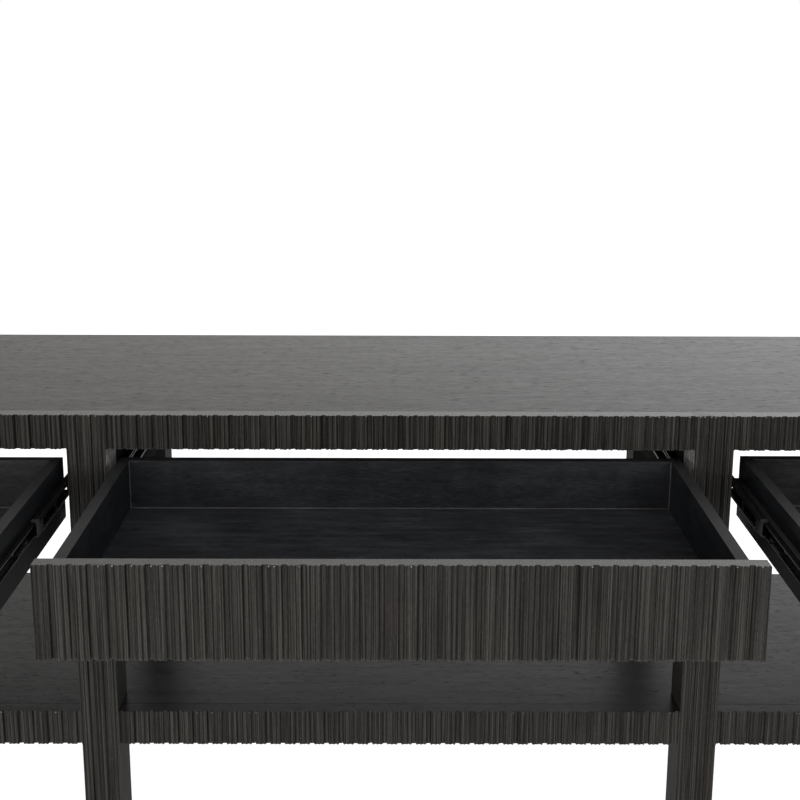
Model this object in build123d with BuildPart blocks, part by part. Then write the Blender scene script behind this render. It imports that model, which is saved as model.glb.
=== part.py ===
from build123d import *
import os
from dataclasses import dataclass

# Console table with three inset drawers side by side, an open shelf below them and vertically reeded faces.
# Its back is plain.
# Millimetres, +Z up. The drawers open towards -Y, and all three stand open as modelled.
# The origin is on the floor, midway between the open drawers' faces and the table's back.

# ---------------------------------------------------------------- driving dimensions
# Carcass
table_height = 711.2
table_depth = 406.4
bay_width = 768.0  # clear opening between two neighbouring legs
leg_width = 50.8  # along X
leg_depth = 50.8  # along Y
top_thickness = 20.0
board_thickness = 20.0  # aprons, skirts and shelf rails
apron_height = 46.7
shelf_height = 287.7  # floor to the shelf's upper face
shelf_thickness = 20.0
shelf_rail_height = 49.3
slide_rail_thickness = 18.0
slide_rail_height = 80.0

# Reeding
reed_pitch = 20.0
reed_channel_width = 6.4
reed_channel_depth = 3.4
reed_margin = 2.0  # least land between the last channel and the end of a board

# Joinery
joint_gap = 0.2  # around tenons, tongues, panels and screws
tenon_length = 15.0
tenon_thickness = 8.0
tenon_shoulder = 8.0  # above and below each tenon
cleat_size = 20.0
screw_radius = 2.0
screw_head_radius = 4.0
screw_head_thickness = 2.5
screw_bite = 12.0  # length of thread in the panel
screw_inset = 60.0  # from the cleat's end

# Foot glides
glide_radius = 12.0
glide_thickness = 3.0
glide_round = 0.8
glide_pin_radius = 2.5
glide_pin_length = 12.0

# Drawers
drawer_gap = 4.5  # between a drawer's face and the legs and apron round it
front_height = 107.0
front_thickness = 16.0
box_height = 84.0
box_drop = 15.2  # the box's top edge below the face's top edge
box_side_thickness = 14.0
box_end_thickness = 12.7
box_floor_thickness = 6.4
box_floor_rise = 11.6  # underside of the floor above the box's lower edge
floor_groove_depth = 6.0
tongue_length = 6.0
tongue_thickness = 5.0
rear_space = 44.4  # behind a closed drawer
right_drawer_shy = 10.0  # the right drawer stands this much less open
right_box_trim = 7.0  # the right drawer's box is this much narrower, at its left side

# Ball-bearing slides, one on each side of a drawer
slide_space = 12.7  # between the box and the leg
slide_rise = 47.4  # slide's centreline above the box's lower edge
slide_metal = 1.2
slide_slip = 0.4  # between the webs of two members
slide_setback = 3.0  # behind the drawer's face
slide_end_gap = 5.6  # before the box's back
cabinet_member_height = 27.6
cabinet_member_depth = 9.4
cabinet_member_inset = 20.0  # front end behind the drawer member's, when the drawer is closed
middle_member_height = 21.4
middle_member_depth = 8.8
middle_member_inset = 26.0
drawer_member_height = 15.6

# ---------------------------------------------------------------- values that follow from them
bays = {"left": -1, "centre": 0, "right": 1}
columns = {"outer_left": -1.5, "inner_left": -0.5, "inner_right": 0.5, "outer_right": 1.5}
box_trims = {"left": 0.0, "centre": 0.0, "right": right_box_trim}
bay_columns = {
    "left": ("outer_left", "inner_left"),
    "centre": ("inner_left", "inner_right"),
    "right": ("inner_right", "outer_right"),
}
bay_pitch = bay_width + leg_width
table_width = len(bays) * bay_pitch + leg_width

box_depth = table_depth - board_thickness - rear_space - front_thickness
slide_length = box_depth - slide_setback - slide_end_gap
drawer_travel = slide_length
drawer_open = {"left": drawer_travel, "centre": drawer_travel, "right": drawer_travel - right_drawer_shy}

front_y = (drawer_travel - table_depth) / 2  # outer face of the front legs
back_y = front_y + table_depth
middle_y = (front_y + back_y) / 2
leg_gap_y = table_depth - 2 * leg_depth  # clear length between a front and a back leg

top_underside_z = table_height - top_thickness
apron_bottom_z = table_height - apron_height
front_top_z = apron_bottom_z - drawer_gap
front_bottom_z = front_top_z - front_height
skirt_bottom_z = front_bottom_z
skirt_height = table_height - skirt_bottom_z
shelf_underside_z = shelf_height - shelf_thickness
shelf_rail_bottom_z = shelf_height - shelf_rail_height

front_width = bay_width - 2 * drawer_gap
box_width = bay_width - 2 * slide_space
box_inner_width = box_width - 2 * box_side_thickness
box_inner_depth = box_depth - 2 * box_end_thickness
box_top_z = front_top_z - box_drop
box_bottom_z = box_top_z - box_height
box_floor_z = box_bottom_z + box_floor_rise
slide_z = box_bottom_z + slide_rise
slide_start_y = front_y + front_thickness + slide_setback

panel_width = table_width - 2 * board_thickness
panel_depth = table_depth - 2 * board_thickness

# ---------------------------------------------------------------- boards between the legs
# A board's plane lies at its lower edge: local X runs along the board, local Y goes into it from its
# outer face, and the origin is the middle of that face.
front_legs = {column: f"front_leg_{column}" for column in columns}
back_legs = {column: f"back_leg_{column}" for column in columns}
into_front = Vector(0, 1, 0)
into_back = Vector(0, -1, 0)
into_left = Vector(1, 0, 0)
into_right = Vector(-1, 0, 0)


@dataclass(frozen=True)
class Board:
    """A straight board with a tenon at each end, joining two legs."""

    plane: Plane
    length: float
    height: float
    legs: tuple
    thickness: float = board_thickness
    reeded: bool = True

    @property
    def middle(self):
        """Local place of the middle of the board's thickness."""
        return (0, self.thickness / 2)

    @property
    def tenon_height(self):
        """Height of the tenon between its two shoulders."""
        return self.height - 2 * tenon_shoulder


def face_plane(x, y, z, inward):
    """Plane on an outer face's lower edge, with local Y pointing into the wood."""
    return Plane(origin=(x, y, z), x_dir=inward.cross(Vector(0, 0, 1)), z_dir=(0, 0, 1))


def board_reeds(length):
    """Number of channels on a board's face, one of them at its middle."""
    half = (length - reed_channel_width) / 2 - reed_margin
    return 2 * int(half / reed_pitch) + 1


def leg_reeds(width):
    """Number of channels on a leg's face."""
    return int(width / reed_pitch)


boards = {}
for bay, step in bays.items():
    bay_x = step * bay_pitch
    in_front = tuple(front_legs[column] for column in bay_columns[bay])
    behind = tuple(back_legs[column] for column in bay_columns[bay])
    boards[f"front_apron_{bay}"] = Board(
        face_plane(bay_x, front_y, apron_bottom_z, into_front), bay_width, apron_height, in_front
    )
    boards[f"back_panel_{bay}"] = Board(
        face_plane(bay_x, back_y, skirt_bottom_z, into_back), bay_width, skirt_height, behind, reeded=False
    )
    boards[f"shelf_front_rail_{bay}"] = Board(
        face_plane(bay_x, front_y, shelf_rail_bottom_z, into_front), bay_width, shelf_rail_height, in_front
    )
    boards[f"shelf_back_rail_{bay}"] = Board(
        face_plane(bay_x, back_y, shelf_rail_bottom_z, into_back),
        bay_width,
        shelf_rail_height,
        behind,
        reeded=False,
    )

for side, inward in (("left", into_left), ("right", into_right)):
    outer_legs = (front_legs[f"outer_{side}"], back_legs[f"outer_{side}"])
    inner_legs = (front_legs[f"inner_{side}"], back_legs[f"inner_{side}"])
    outer_x = columns[f"outer_{side}"] * bay_pitch - inward.X * leg_width / 2
    inner_x = columns[f"inner_{side}"] * bay_pitch - inward.X * leg_width / 2
    boards[f"side_panel_{side}"] = Board(
        face_plane(outer_x, middle_y, skirt_bottom_z, inward), leg_gap_y, skirt_height, outer_legs
    )
    boards[f"shelf_side_rail_{side}"] = Board(
        face_plane(outer_x, middle_y, shelf_rail_bottom_z, inward), leg_gap_y, shelf_rail_height, outer_legs
    )
    # The slide rail is flush with the inner faces of the outer legs and carries the drawer slide.
    boards[f"slide_rail_{side}"] = Board(
        face_plane(
            outer_x + inward.X * (leg_width - slide_rail_thickness),
            middle_y,
            slide_z - slide_rail_height / 2,
            inward,
        ),
        leg_gap_y,
        slide_rail_height,
        outer_legs,
        slide_rail_thickness,
        reeded=False,
    )
    # The divider fills the width of the inner legs and carries a slide on each face.
    boards[f"divider_{side}"] = Board(
        face_plane(inner_x, middle_y, skirt_bottom_z, inward),
        leg_gap_y,
        top_underside_z - skirt_bottom_z,
        inner_legs,
        leg_width,
        reeded=False,
    )

top_carrier_names = ("front_apron", "back_panel", "side_panel")
top_carriers = [board for name, board in boards.items() if name.startswith(top_carrier_names)]
shelf_carriers = [board for name, board in boards.items() if name.startswith("shelf_")]

os.makedirs("parts", exist_ok=True)


def save(part, name):
    """Label one finished piece and write it under its own name."""
    part.label = name
    export_step(part, f"parts/{name}.step")


# ---------------------------------------------------------------- aprons, skirts, rails and dividers
for name, board in boards.items():
    with BuildPart() as piece:
        with BuildSketch(board.plane):
            with Locations(board.middle):
                Rectangle(board.length, board.thickness)
            if board.reeded:
                with GridLocations(reed_pitch, 0, board_reeds(board.length), 1):
                    Rectangle(reed_channel_width, 2 * reed_channel_depth, mode=Mode.SUBTRACT)
        extrude(amount=board.height)
        with BuildSketch(board.plane.offset(tenon_shoulder)):
            with Locations(board.middle):
                Rectangle(board.length + 2 * tenon_length, tenon_thickness)
        extrude(amount=board.tenon_height)
    save(piece.part, name)


# ---------------------------------------------------------------- legs
def build_leg(name, leg_plane, outer_side, reeded_face):
    """One leg: reeded outside, rebated for the top, mortised for its boards and bored for its glide.

    outer_side is -1 or 1 for the local X side that is also an outer face, and 0 for an inner leg.
    reeded_face says whether the face on leg_plane is reeded.
    """
    with BuildPart() as leg:
        with BuildSketch(leg_plane):
            with Locations((0, leg_depth / 2)):
                Rectangle(leg_width, leg_depth)
            if reeded_face:
                with GridLocations(reed_pitch, 0, leg_reeds(leg_width), 1):
                    Rectangle(reed_channel_width, 2 * reed_channel_depth, mode=Mode.SUBTRACT)
            if outer_side:
                with Locations((outer_side * leg_width / 2, leg_depth / 2)):
                    with GridLocations(0, reed_pitch, 1, leg_reeds(leg_depth)):
                        Rectangle(2 * reed_channel_depth, reed_channel_width, mode=Mode.SUBTRACT)
        extrude(amount=table_height - glide_thickness)
        with BuildSketch(Plane.XY.offset(top_underside_z)):
            with Locations((0, middle_y)):
                Rectangle(panel_width, panel_depth)
        extrude(amount=top_thickness, mode=Mode.SUBTRACT)
        for board in boards.values():
            if name in board.legs:
                with BuildSketch(board.plane.offset(tenon_shoulder - joint_gap)):
                    with Locations(board.middle):
                        Rectangle(
                            board.length + 2 * (tenon_length + joint_gap),
                            tenon_thickness + 2 * joint_gap,
                        )
                extrude(amount=board.tenon_height + 2 * joint_gap, mode=Mode.SUBTRACT)
        with BuildSketch(leg_plane):
            with Locations((0, leg_depth / 2)):
                Circle(glide_pin_radius + joint_gap)
        extrude(amount=glide_pin_length + joint_gap, mode=Mode.SUBTRACT)
    save(leg.part, name)


outer_sides = {"outer_left": -1, "inner_left": 0, "inner_right": 0, "outer_right": 1}
for column, step in columns.items():
    column_x = step * bay_pitch
    front_plane = face_plane(column_x, front_y, glide_thickness, into_front)
    back_plane = face_plane(column_x, back_y, glide_thickness, into_back)
    build_leg(front_legs[column], front_plane, outer_sides[column], reeded_face=True)
    build_leg(back_legs[column], back_plane, -outer_sides[column], reeded_face=False)

leg_centres = [
    (step * bay_pitch, middle_y + row * (table_depth - leg_depth) / 2)
    for step in columns.values()
    for row in (-1, 1)
]

with BuildPart() as foot_glides:
    with BuildSketch():
        with Locations(*leg_centres):
            Circle(glide_radius)
    extrude(amount=glide_thickness)
    fillet(foot_glides.edges().group_by(Axis.Z)[0], glide_round)
    with BuildSketch(Plane.XY.offset(glide_thickness)):
        with Locations(*leg_centres):
            Circle(glide_pin_radius)
    extrude(amount=glide_pin_length)
save(foot_glides.part, "foot_glides")


# ---------------------------------------------------------------- top, shelf and the cleats under them
@dataclass(frozen=True)
class Cleat:
    """A square strip along a board's inner face, flush under a panel and screwed up into it."""

    board: Board
    panel_underside_z: float

    @property
    def plane(self):
        """The board's plane, raised to the cleat's underside."""
        return self.board.plane.offset(self.panel_underside_z - cleat_size - self.board.plane.origin.Z)

    @property
    def middle(self):
        """Local place of the middle of the cleat's section."""
        return (0, self.board.thickness + cleat_size / 2)

    @property
    def length(self):
        """Length between the legs, clear of both."""
        return self.board.length - 2 * joint_gap

    @property
    def screw_spacing(self):
        """Distance between the cleat's two screws."""
        return self.length - 2 * screw_inset


top_cleats = [Cleat(board, top_underside_z) for board in top_carriers]
shelf_cleats = [Cleat(board, shelf_underside_z) for board in shelf_carriers]

for name, cleats in (("top_cleats", top_cleats), ("shelf_cleats", shelf_cleats)):
    with BuildPart() as strips:
        for cleat in cleats:
            with BuildSketch(cleat.plane):
                with Locations(cleat.middle):
                    Rectangle(cleat.length, cleat_size)
                    with GridLocations(cleat.screw_spacing, 0, 2, 1):
                        Circle(screw_radius + joint_gap, mode=Mode.SUBTRACT)
            extrude(amount=cleat_size)
    save(strips.part, name)

with BuildPart() as cleat_screws:
    for cleat in top_cleats + shelf_cleats:
        with BuildSketch(cleat.plane):
            with Locations(cleat.middle):
                with GridLocations(cleat.screw_spacing, 0, 2, 1):
                    Circle(screw_head_radius)
        extrude(amount=-screw_head_thickness)
        with BuildSketch(cleat.plane):
            with Locations(cleat.middle):
                with GridLocations(cleat.screw_spacing, 0, 2, 1):
                    Circle(screw_radius)
        extrude(amount=cleat_size + screw_bite)
save(cleat_screws.part, "cleat_screws")

with BuildPart() as top_panel:
    with BuildSketch(Plane.XY.offset(top_underside_z)):
        with Locations((0, middle_y)):
            Rectangle(panel_width - 2 * joint_gap, panel_depth - 2 * joint_gap)
    extrude(amount=top_thickness)
    for cleat in top_cleats:
        with BuildSketch(cleat.plane.offset(cleat_size)):
            with Locations(cleat.middle):
                with GridLocations(cleat.screw_spacing, 0, 2, 1):
                    Circle(screw_radius + joint_gap)
        extrude(amount=screw_bite + joint_gap, mode=Mode.SUBTRACT)
save(top_panel.part, "top_panel")

with BuildPart() as shelf_panel:
    with BuildSketch(Plane.XY.offset(shelf_underside_z)):
        with Locations((0, middle_y)):
            Rectangle(panel_width - 2 * joint_gap, panel_depth - 2 * joint_gap)
        with Locations(*leg_centres):
            Rectangle(leg_width + 2 * joint_gap, leg_depth + 2 * joint_gap, mode=Mode.SUBTRACT)
    extrude(amount=shelf_thickness)
    for cleat in shelf_cleats:
        with BuildSketch(cleat.plane.offset(cleat_size)):
            with Locations(cleat.middle):
                with GridLocations(cleat.screw_spacing, 0, 2, 1):
                    Circle(screw_radius + joint_gap)
        extrude(amount=screw_bite + joint_gap, mode=Mode.SUBTRACT)
save(shelf_panel.part, "shelf_panel")


# ---------------------------------------------------------------- drawers
floor_depth = box_inner_depth + 2 * (floor_groove_depth - joint_gap)
box_middle = (0, box_depth / 2)
end_middles = {"front": (0, box_end_thickness / 2), "back": (0, box_depth - box_end_thickness / 2)}


def build_drawer(bay, bay_x, face_y, trim):
    """One drawer: a reeded face on a four-sided box with a grooved-in floor.

    face_y is the place of the drawer's outer face. The box's plane has its origin behind that face.
    trim is the width taken off the box at its left side.
    """
    box_plane = Plane(origin=(bay_x + trim / 2, face_y + front_thickness, box_bottom_z))
    inner_width = box_inner_width - trim
    tongue_span = inner_width + 2 * tongue_length
    floor_width = inner_width + 2 * (floor_groove_depth - joint_gap)

    with BuildPart() as drawer_front:
        with BuildSketch(face_plane(bay_x, face_y, front_bottom_z, into_front)):
            with Locations((0, front_thickness / 2)):
                Rectangle(front_width, front_thickness)
            with GridLocations(reed_pitch, 0, board_reeds(front_width), 1):
                Rectangle(reed_channel_width, 2 * reed_channel_depth, mode=Mode.SUBTRACT)
        extrude(amount=front_height)
    save(drawer_front.part, f"drawer_front_{bay}")

    for side, step in (("left", -1), ("right", 1)):
        with BuildPart() as box_side:
            with BuildSketch(box_plane):
                with Locations((step * (inner_width + box_side_thickness) / 2, box_depth / 2)):
                    Rectangle(box_side_thickness, box_depth)
            extrude(amount=box_height)
            with BuildSketch(box_plane):
                with Locations(*end_middles.values()):
                    Rectangle(tongue_span + 2 * joint_gap, tongue_thickness + 2 * joint_gap)
            extrude(amount=box_height, mode=Mode.SUBTRACT)
            with BuildSketch(box_plane.offset(box_floor_rise)):
                with Locations(box_middle):
                    Rectangle(floor_width + 2 * joint_gap, floor_depth + 2 * joint_gap)
            extrude(amount=box_floor_thickness + joint_gap, mode=Mode.SUBTRACT)
        save(box_side.part, f"box_side_{side}_{bay}")

    for end, end_middle in end_middles.items():
        with BuildPart() as box_end:
            with BuildSketch(box_plane):
                with Locations(end_middle):
                    Rectangle(inner_width, box_end_thickness)
                    Rectangle(tongue_span, tongue_thickness)
            extrude(amount=box_height)
            with BuildSketch(box_plane.offset(box_floor_rise)):
                with Locations(box_middle):
                    Rectangle(floor_width + 2 * joint_gap, floor_depth + 2 * joint_gap)
            extrude(amount=box_floor_thickness + joint_gap, mode=Mode.SUBTRACT)
        save(box_end.part, f"box_{end}_{bay}")

    with BuildPart() as box_floor:
        with BuildSketch(box_plane.offset(box_floor_rise)):
            with Locations(box_middle):
                Rectangle(floor_width, floor_depth)
        extrude(amount=box_floor_thickness)
    save(box_floor.part, f"box_floor_{bay}")


for bay, step in bays.items():
    build_drawer(bay, step * bay_pitch, front_y - drawer_open[bay], box_trims[bay])


# ---------------------------------------------------------------- drawer slides
def slide_plane(bay_x, side_step, start_y):
    """Section plane of a slide, with local X from the leg towards the drawer and extrusions along +Y."""
    return Plane(
        origin=(bay_x + side_step * bay_width / 2, start_y, slide_z),
        x_dir=(-side_step, 0, 0),
        z_dir=(0, 1, 0),
    )


middle_web = slide_metal + slide_slip  # middle member's web from the leg
drawer_web = slide_space - slide_metal  # drawer member's web from the leg
drawer_flange_end = middle_web + slide_metal + slide_slip
drawer_member_depth = slide_space - drawer_flange_end

with BuildPart() as cabinet_slides:
    for step in bays.values():
        for side_step in (-1, 1):
            with BuildSketch(
                slide_plane(step * bay_pitch, side_step, slide_start_y + cabinet_member_inset)
            ):
                with Locations((cabinet_member_depth / 2, 0)):
                    Rectangle(cabinet_member_depth, cabinet_member_height)
                with Locations((slide_metal + cabinet_member_depth / 2, 0)):
                    Rectangle(
                        cabinet_member_depth, cabinet_member_height - 2 * slide_metal, mode=Mode.SUBTRACT
                    )
            extrude(amount=slide_length - cabinet_member_inset)
save(cabinet_slides.part, "cabinet_slides")

for bay, step in bays.items():
    bay_x = step * bay_pitch
    with BuildPart() as middle_slides:
        for side_step in (-1, 1):
            middle_start_y = slide_start_y - drawer_open[bay] / 2 + middle_member_inset
            with BuildSketch(slide_plane(bay_x, side_step, middle_start_y)):
                with Locations((middle_web + middle_member_depth / 2, 0)):
                    Rectangle(middle_member_depth, middle_member_height)
                with Locations((middle_web + slide_metal + middle_member_depth / 2, 0)):
                    Rectangle(
                        middle_member_depth, middle_member_height - 2 * slide_metal, mode=Mode.SUBTRACT
                    )
            extrude(amount=slide_length - middle_member_inset)
    save(middle_slides.part, f"middle_slides_{bay}")

    with BuildPart() as drawer_slides:
        for side_step in (-1, 1):
            with BuildSketch(slide_plane(bay_x, side_step, slide_start_y - drawer_open[bay])):
                with Locations((drawer_flange_end + drawer_member_depth / 2, 0)):
                    Rectangle(drawer_member_depth, drawer_member_height)
                with Locations((drawer_web - drawer_member_depth / 2, 0)):
                    Rectangle(
                        drawer_member_depth, drawer_member_height - 2 * slide_metal, mode=Mode.SUBTRACT
                    )
            extrude(amount=slide_length)
    save(drawer_slides.part, f"drawer_slides_{bay}")

# A packing strip fills the room that a trimmed box leaves beside its slide.
for bay, trim in box_trims.items():
    if trim:
        with BuildPart() as slide_packing:
            with BuildSketch(slide_plane(bays[bay] * bay_pitch, -1, slide_start_y - drawer_open[bay])):
                with Locations((slide_space + trim / 2, 0)):
                    Rectangle(trim, drawer_member_height)
            extrude(amount=slide_length)
        save(slide_packing.part, f"slide_packing_{bay}")
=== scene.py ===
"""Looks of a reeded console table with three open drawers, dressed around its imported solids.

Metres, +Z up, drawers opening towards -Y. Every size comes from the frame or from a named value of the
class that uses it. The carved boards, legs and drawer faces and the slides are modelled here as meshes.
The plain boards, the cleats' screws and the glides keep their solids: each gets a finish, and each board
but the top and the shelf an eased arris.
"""

import logging
import math
import zlib
from dataclasses import dataclass, field, replace
from enum import Enum
from typing import ClassVar

import bmesh
import bpy
import numpy as np
from mathutils import Matrix, Vector


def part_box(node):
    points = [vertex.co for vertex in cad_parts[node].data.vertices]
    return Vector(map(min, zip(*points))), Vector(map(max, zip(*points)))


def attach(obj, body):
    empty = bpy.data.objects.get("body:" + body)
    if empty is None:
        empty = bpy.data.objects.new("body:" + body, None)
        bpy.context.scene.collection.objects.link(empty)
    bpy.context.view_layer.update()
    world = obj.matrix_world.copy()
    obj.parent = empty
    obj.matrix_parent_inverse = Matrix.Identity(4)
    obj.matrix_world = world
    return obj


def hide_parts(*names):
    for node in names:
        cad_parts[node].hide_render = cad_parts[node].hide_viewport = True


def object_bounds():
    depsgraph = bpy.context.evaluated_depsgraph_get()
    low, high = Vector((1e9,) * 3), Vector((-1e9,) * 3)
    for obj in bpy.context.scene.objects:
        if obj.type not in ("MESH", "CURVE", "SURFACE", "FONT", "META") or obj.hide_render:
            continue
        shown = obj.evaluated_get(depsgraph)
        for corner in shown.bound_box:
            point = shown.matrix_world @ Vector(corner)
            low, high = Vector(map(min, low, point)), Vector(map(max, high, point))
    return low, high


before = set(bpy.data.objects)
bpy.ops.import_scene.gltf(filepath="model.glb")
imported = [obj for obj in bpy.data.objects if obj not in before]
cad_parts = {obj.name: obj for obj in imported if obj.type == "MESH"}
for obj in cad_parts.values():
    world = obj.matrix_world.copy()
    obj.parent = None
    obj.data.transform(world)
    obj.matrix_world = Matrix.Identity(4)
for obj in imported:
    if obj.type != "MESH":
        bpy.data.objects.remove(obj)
cad_low, cad_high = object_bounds()

logging.basicConfig(level=logging.INFO, format="%(name)s: %(message)s")
log = logging.getLogger("console_table")

MM = 0.001
TOUCH = 0.01 * MM  # points nearer than this are at one place
UP = Vector((0, 0, 1))
BAYS = ("left", "centre", "right")
COLUMNS = ("outer_left", "inner_left", "inner_right", "outer_right")
MARKS = ("rub", "tone", "chip")  # what a carved mesh tells its finish at each point; rub also carries the gaps' painted shade and painted light, tone the painted end shade


# ---------------------------------------------------------------- shader graphs
@dataclass(frozen=True)
class Pattern:
    """A noise that a finish is made with, and how strongly it tells."""

    scale: tuple[float, float, float]  # features to a metre by axis, fewest along what it is drawn out on
    detail: float = 2.0  # how many finer layers lie over the first
    roughness: float = 0.5  # strength of each layer as a share of the last
    tint: float = 0.0  # in the stain
    matting: float = 0.0  # in the roughness
    relief: float = 0.0  # in the height of the surface


class Signal:
    """One output socket of a shader graph, with arithmetic that adds the matching nodes."""

    def __init__(self, graph: "Graph", socket: bpy.types.NodeSocket) -> None:
        """Keep the graph and the socket that this signal stands for."""
        self.graph = graph
        self.socket = socket

    def __add__(self, other: "Signal | float") -> "Signal":
        """Sum of two values."""
        return self.graph.math("ADD", self, other)

    def __sub__(self, other: "Signal | float") -> "Signal":
        """Difference of two values."""
        return self.graph.math("SUBTRACT", self, other)

    def __rsub__(self, other: float) -> "Signal":
        """Difference from a plain number."""
        return self.graph.math("SUBTRACT", other, self)

    def __mul__(self, other: "Signal | float") -> "Signal":
        """Product of two values."""
        return self.graph.math("MULTIPLY", self, other)

    __radd__ = __add__
    __rmul__ = __mul__

    def clamped(self) -> "Signal":
        """Value held between nought and one."""
        return self.graph.make("ShaderNodeClamp", {}, {"Value": self}, "Result")

    def above(self, level: float, gain: float) -> "Signal":
        """How far the value stands above a level, times a gain, held between nought and one."""
        return ((self - level) * gain).clamped()

    def line(self, slope_and_start: tuple[float, float]) -> "Signal":
        """The value times a slope, with the start added."""
        return self * slope_and_start[0] + slope_and_start[1]

    def spread(self, amount: float) -> "Signal":
        """How far the value lies from a half, times an amount."""
        return (self - 0.5) * amount


class Graph:
    """A node tree being written, for a material or for the surroundings."""

    def __init__(self, tree: bpy.types.NodeTree) -> None:
        """Start from an empty tree."""
        self.tree = tree
        tree.nodes.clear()

    def node(self, kind: str, settings: dict, sockets: dict) -> bpy.types.Node:
        """Add one node.

        Args:
            kind: The node's type.
            settings: Its properties, set first; "stops" fills a colour ramp with (place, colour) pairs.
            sockets: Values or signals for its inputs, by name or index.

        Returns:
            The new node.
        """
        node = self.tree.nodes.new(kind)
        for name, value in settings.items():
            if name == "stops":
                self._fill_ramp(node.color_ramp, value)
            else:
                setattr(node, name, value)
        for name, value in sockets.items():
            if isinstance(value, Signal):
                self.tree.links.new(value.socket, node.inputs[name])
            else:
                node.inputs[name].default_value = value
        return node

    def make(self, kind: str, settings: dict, sockets: dict, output: str | int = 0) -> Signal:
        """Add one node, as node does, and give one of its outputs, by name or index."""
        return Signal(self, self.node(kind, settings, sockets).outputs[output])

    def math(self, operation: str, first: Signal | float, second: Signal | float = 0.0) -> Signal:
        """Add a Math node for two values and give its result."""
        return self.make("ShaderNodeMath", {"operation": operation}, {0: first, 1: second})

    def place(self) -> Signal:
        """Place on the piece at rest, in metres."""
        return self.make("ShaderNodeTexCoord", {}, {}, "Object")

    def facing(self) -> tuple[Signal, Signal, Signal]:
        """The three components of the way that the surface faces, on the piece at rest."""
        return self.split(self.make("ShaderNodeTexCoord", {}, {}, "Normal"))

    def split(self, vector: Signal) -> tuple[Signal, Signal, Signal]:
        """The three components of a vector."""
        node = self.node("ShaderNodeSeparateXYZ", {}, {"Vector": vector})
        return tuple(Signal(self, node.outputs[i]) for i in range(3))

    def noise(self, place: Signal, pattern: Pattern) -> Signal:
        """Add the noise of a pattern.

        Args:
            place: Where each point lies.
            pattern: The pattern.

        Returns:
            Values from nought to one.
        """
        settings = {"operation": "MULTIPLY"}
        scaled = self.make("ShaderNodeVectorMath", settings, {0: place, 1: pattern.scale}, "Vector")
        sockets = {"Vector": scaled, "Scale": 1.0, "Detail": pattern.detail, "Roughness": pattern.roughness}
        return self.make("ShaderNodeTexNoise", {}, sockets, "Fac")

    def noises(self, place: Signal, *patterns: Pattern) -> list[Signal]:
        """The noise of each pattern."""
        return [self.noise(place, pattern) for pattern in patterns]

    def attribute(self, name: str) -> Signal:
        """Value that a mesh stores at its points."""
        return self.make("ShaderNodeAttribute", {"attribute_name": name}, {}, "Fac")

    def ramp(self, value: Signal, stops: list) -> Signal:
        """Colour looked up along (place, colour) stops."""
        return self.make("ShaderNodeValToRGB", {"stops": stops}, {"Fac": value}, "Color")

    def stain(
        self, value: Signal, stops: tuple, shade: float, warmth: float = 0.0, green: float = 0.0
    ) -> Signal:
        """Tint looked up along (place, multiple of the shade) stops, as warm and green as grey makes it."""
        return self.ramp(value, [(place, grey(share * shade, warmth, green)) for place, share in stops])

    def blend(self, share: Signal | float, first: Signal | tuple, second: Signal | tuple) -> Signal:
        """Colour between two colours, at a share of the second."""
        sockets = {"Factor": share, 6: first, 7: second}
        return self.make("ShaderNodeMix", {"data_type": "RGBA"}, sockets, 2)

    def relief(self, height: Signal, depth: float) -> Signal:
        """Normal of a fine relief whose height of one stands for a depth in metres."""
        return self.make("ShaderNodeBump", {}, {"Height": height, "Distance": depth}, "Normal")

    @staticmethod
    def _fill_ramp(ramp: bpy.types.ColorRamp, stops: list) -> None:
        """Set a colour ramp's stops.

        Args:
            ramp: The colour ramp.
            stops: Pairs of place and colour, in order.
        """
        for place, _ in stops[2:]:
            ramp.elements.new(place)
        for element, (place, colour) in zip(ramp.elements, stops):
            element.position = place
            element.color = colour


def grey(value: float, warmth: float = 0.0, green: float = 0.0) -> tuple[float, float, float, float]:
    """Linear grey, with red raised and blue lowered by a share called warmth, and green by another."""
    return (value * (1 + warmth), value * (1 + green), value * (1 - warmth), 1.0)


class Facing(Enum):
    """Side of the table that a carved face looks to, with the way from it into the wood."""

    FRONT = (0, 1, 0)
    BACK = (0, -1, 0)
    LEFT = (1, 0, 0)
    RIGHT = (-1, 0, 0)

    @property
    def inward(self) -> Vector:
        """The way into the wood."""
        return Vector(self.value)


class Grain(Enum):
    """Which way the wood's fibres run."""

    ALONG_X = (0.14, 1.0, 1.0)
    ALONG_Y = (1.0, 0.14, 1.0)
    UPRIGHT = (1.0, 1.0, 0.14)

    def lay(self, pattern: Pattern) -> Pattern:
        """The pattern drawn out along the fibres."""
        scale = (share * across for share, across in zip(self.value, pattern.scale))
        return replace(pattern, scale=tuple(scale))


BARE_WOOD = grey(0.5, 0.06, 0.03)
LACQUER_IOR = 1.5


# ---------------------------------------------------------------- finishes
@dataclass(frozen=True)
class Finish:
    """A named surface finish; the subclasses say what it is made of."""

    name: str

    def material(self) -> bpy.types.Material:
        """Build the finish once and give the same material every time it is asked for.

        Returns:
            The material.
        """
        found = bpy.data.materials.get(self.name)
        if found:
            return found
        made = bpy.data.materials.new(self.name)
        made.use_nodes = True
        graph = Graph(made.node_tree)
        shader = graph.make("ShaderNodeBsdfPrincipled", {}, self.surface(graph), "BSDF")
        graph.node("ShaderNodeOutputMaterial", {}, {"Surface": shader})
        return made

    def surface(self, graph: Graph) -> dict:
        """Values and signals by the names of the surface shader's sockets."""
        raise NotImplementedError


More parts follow.
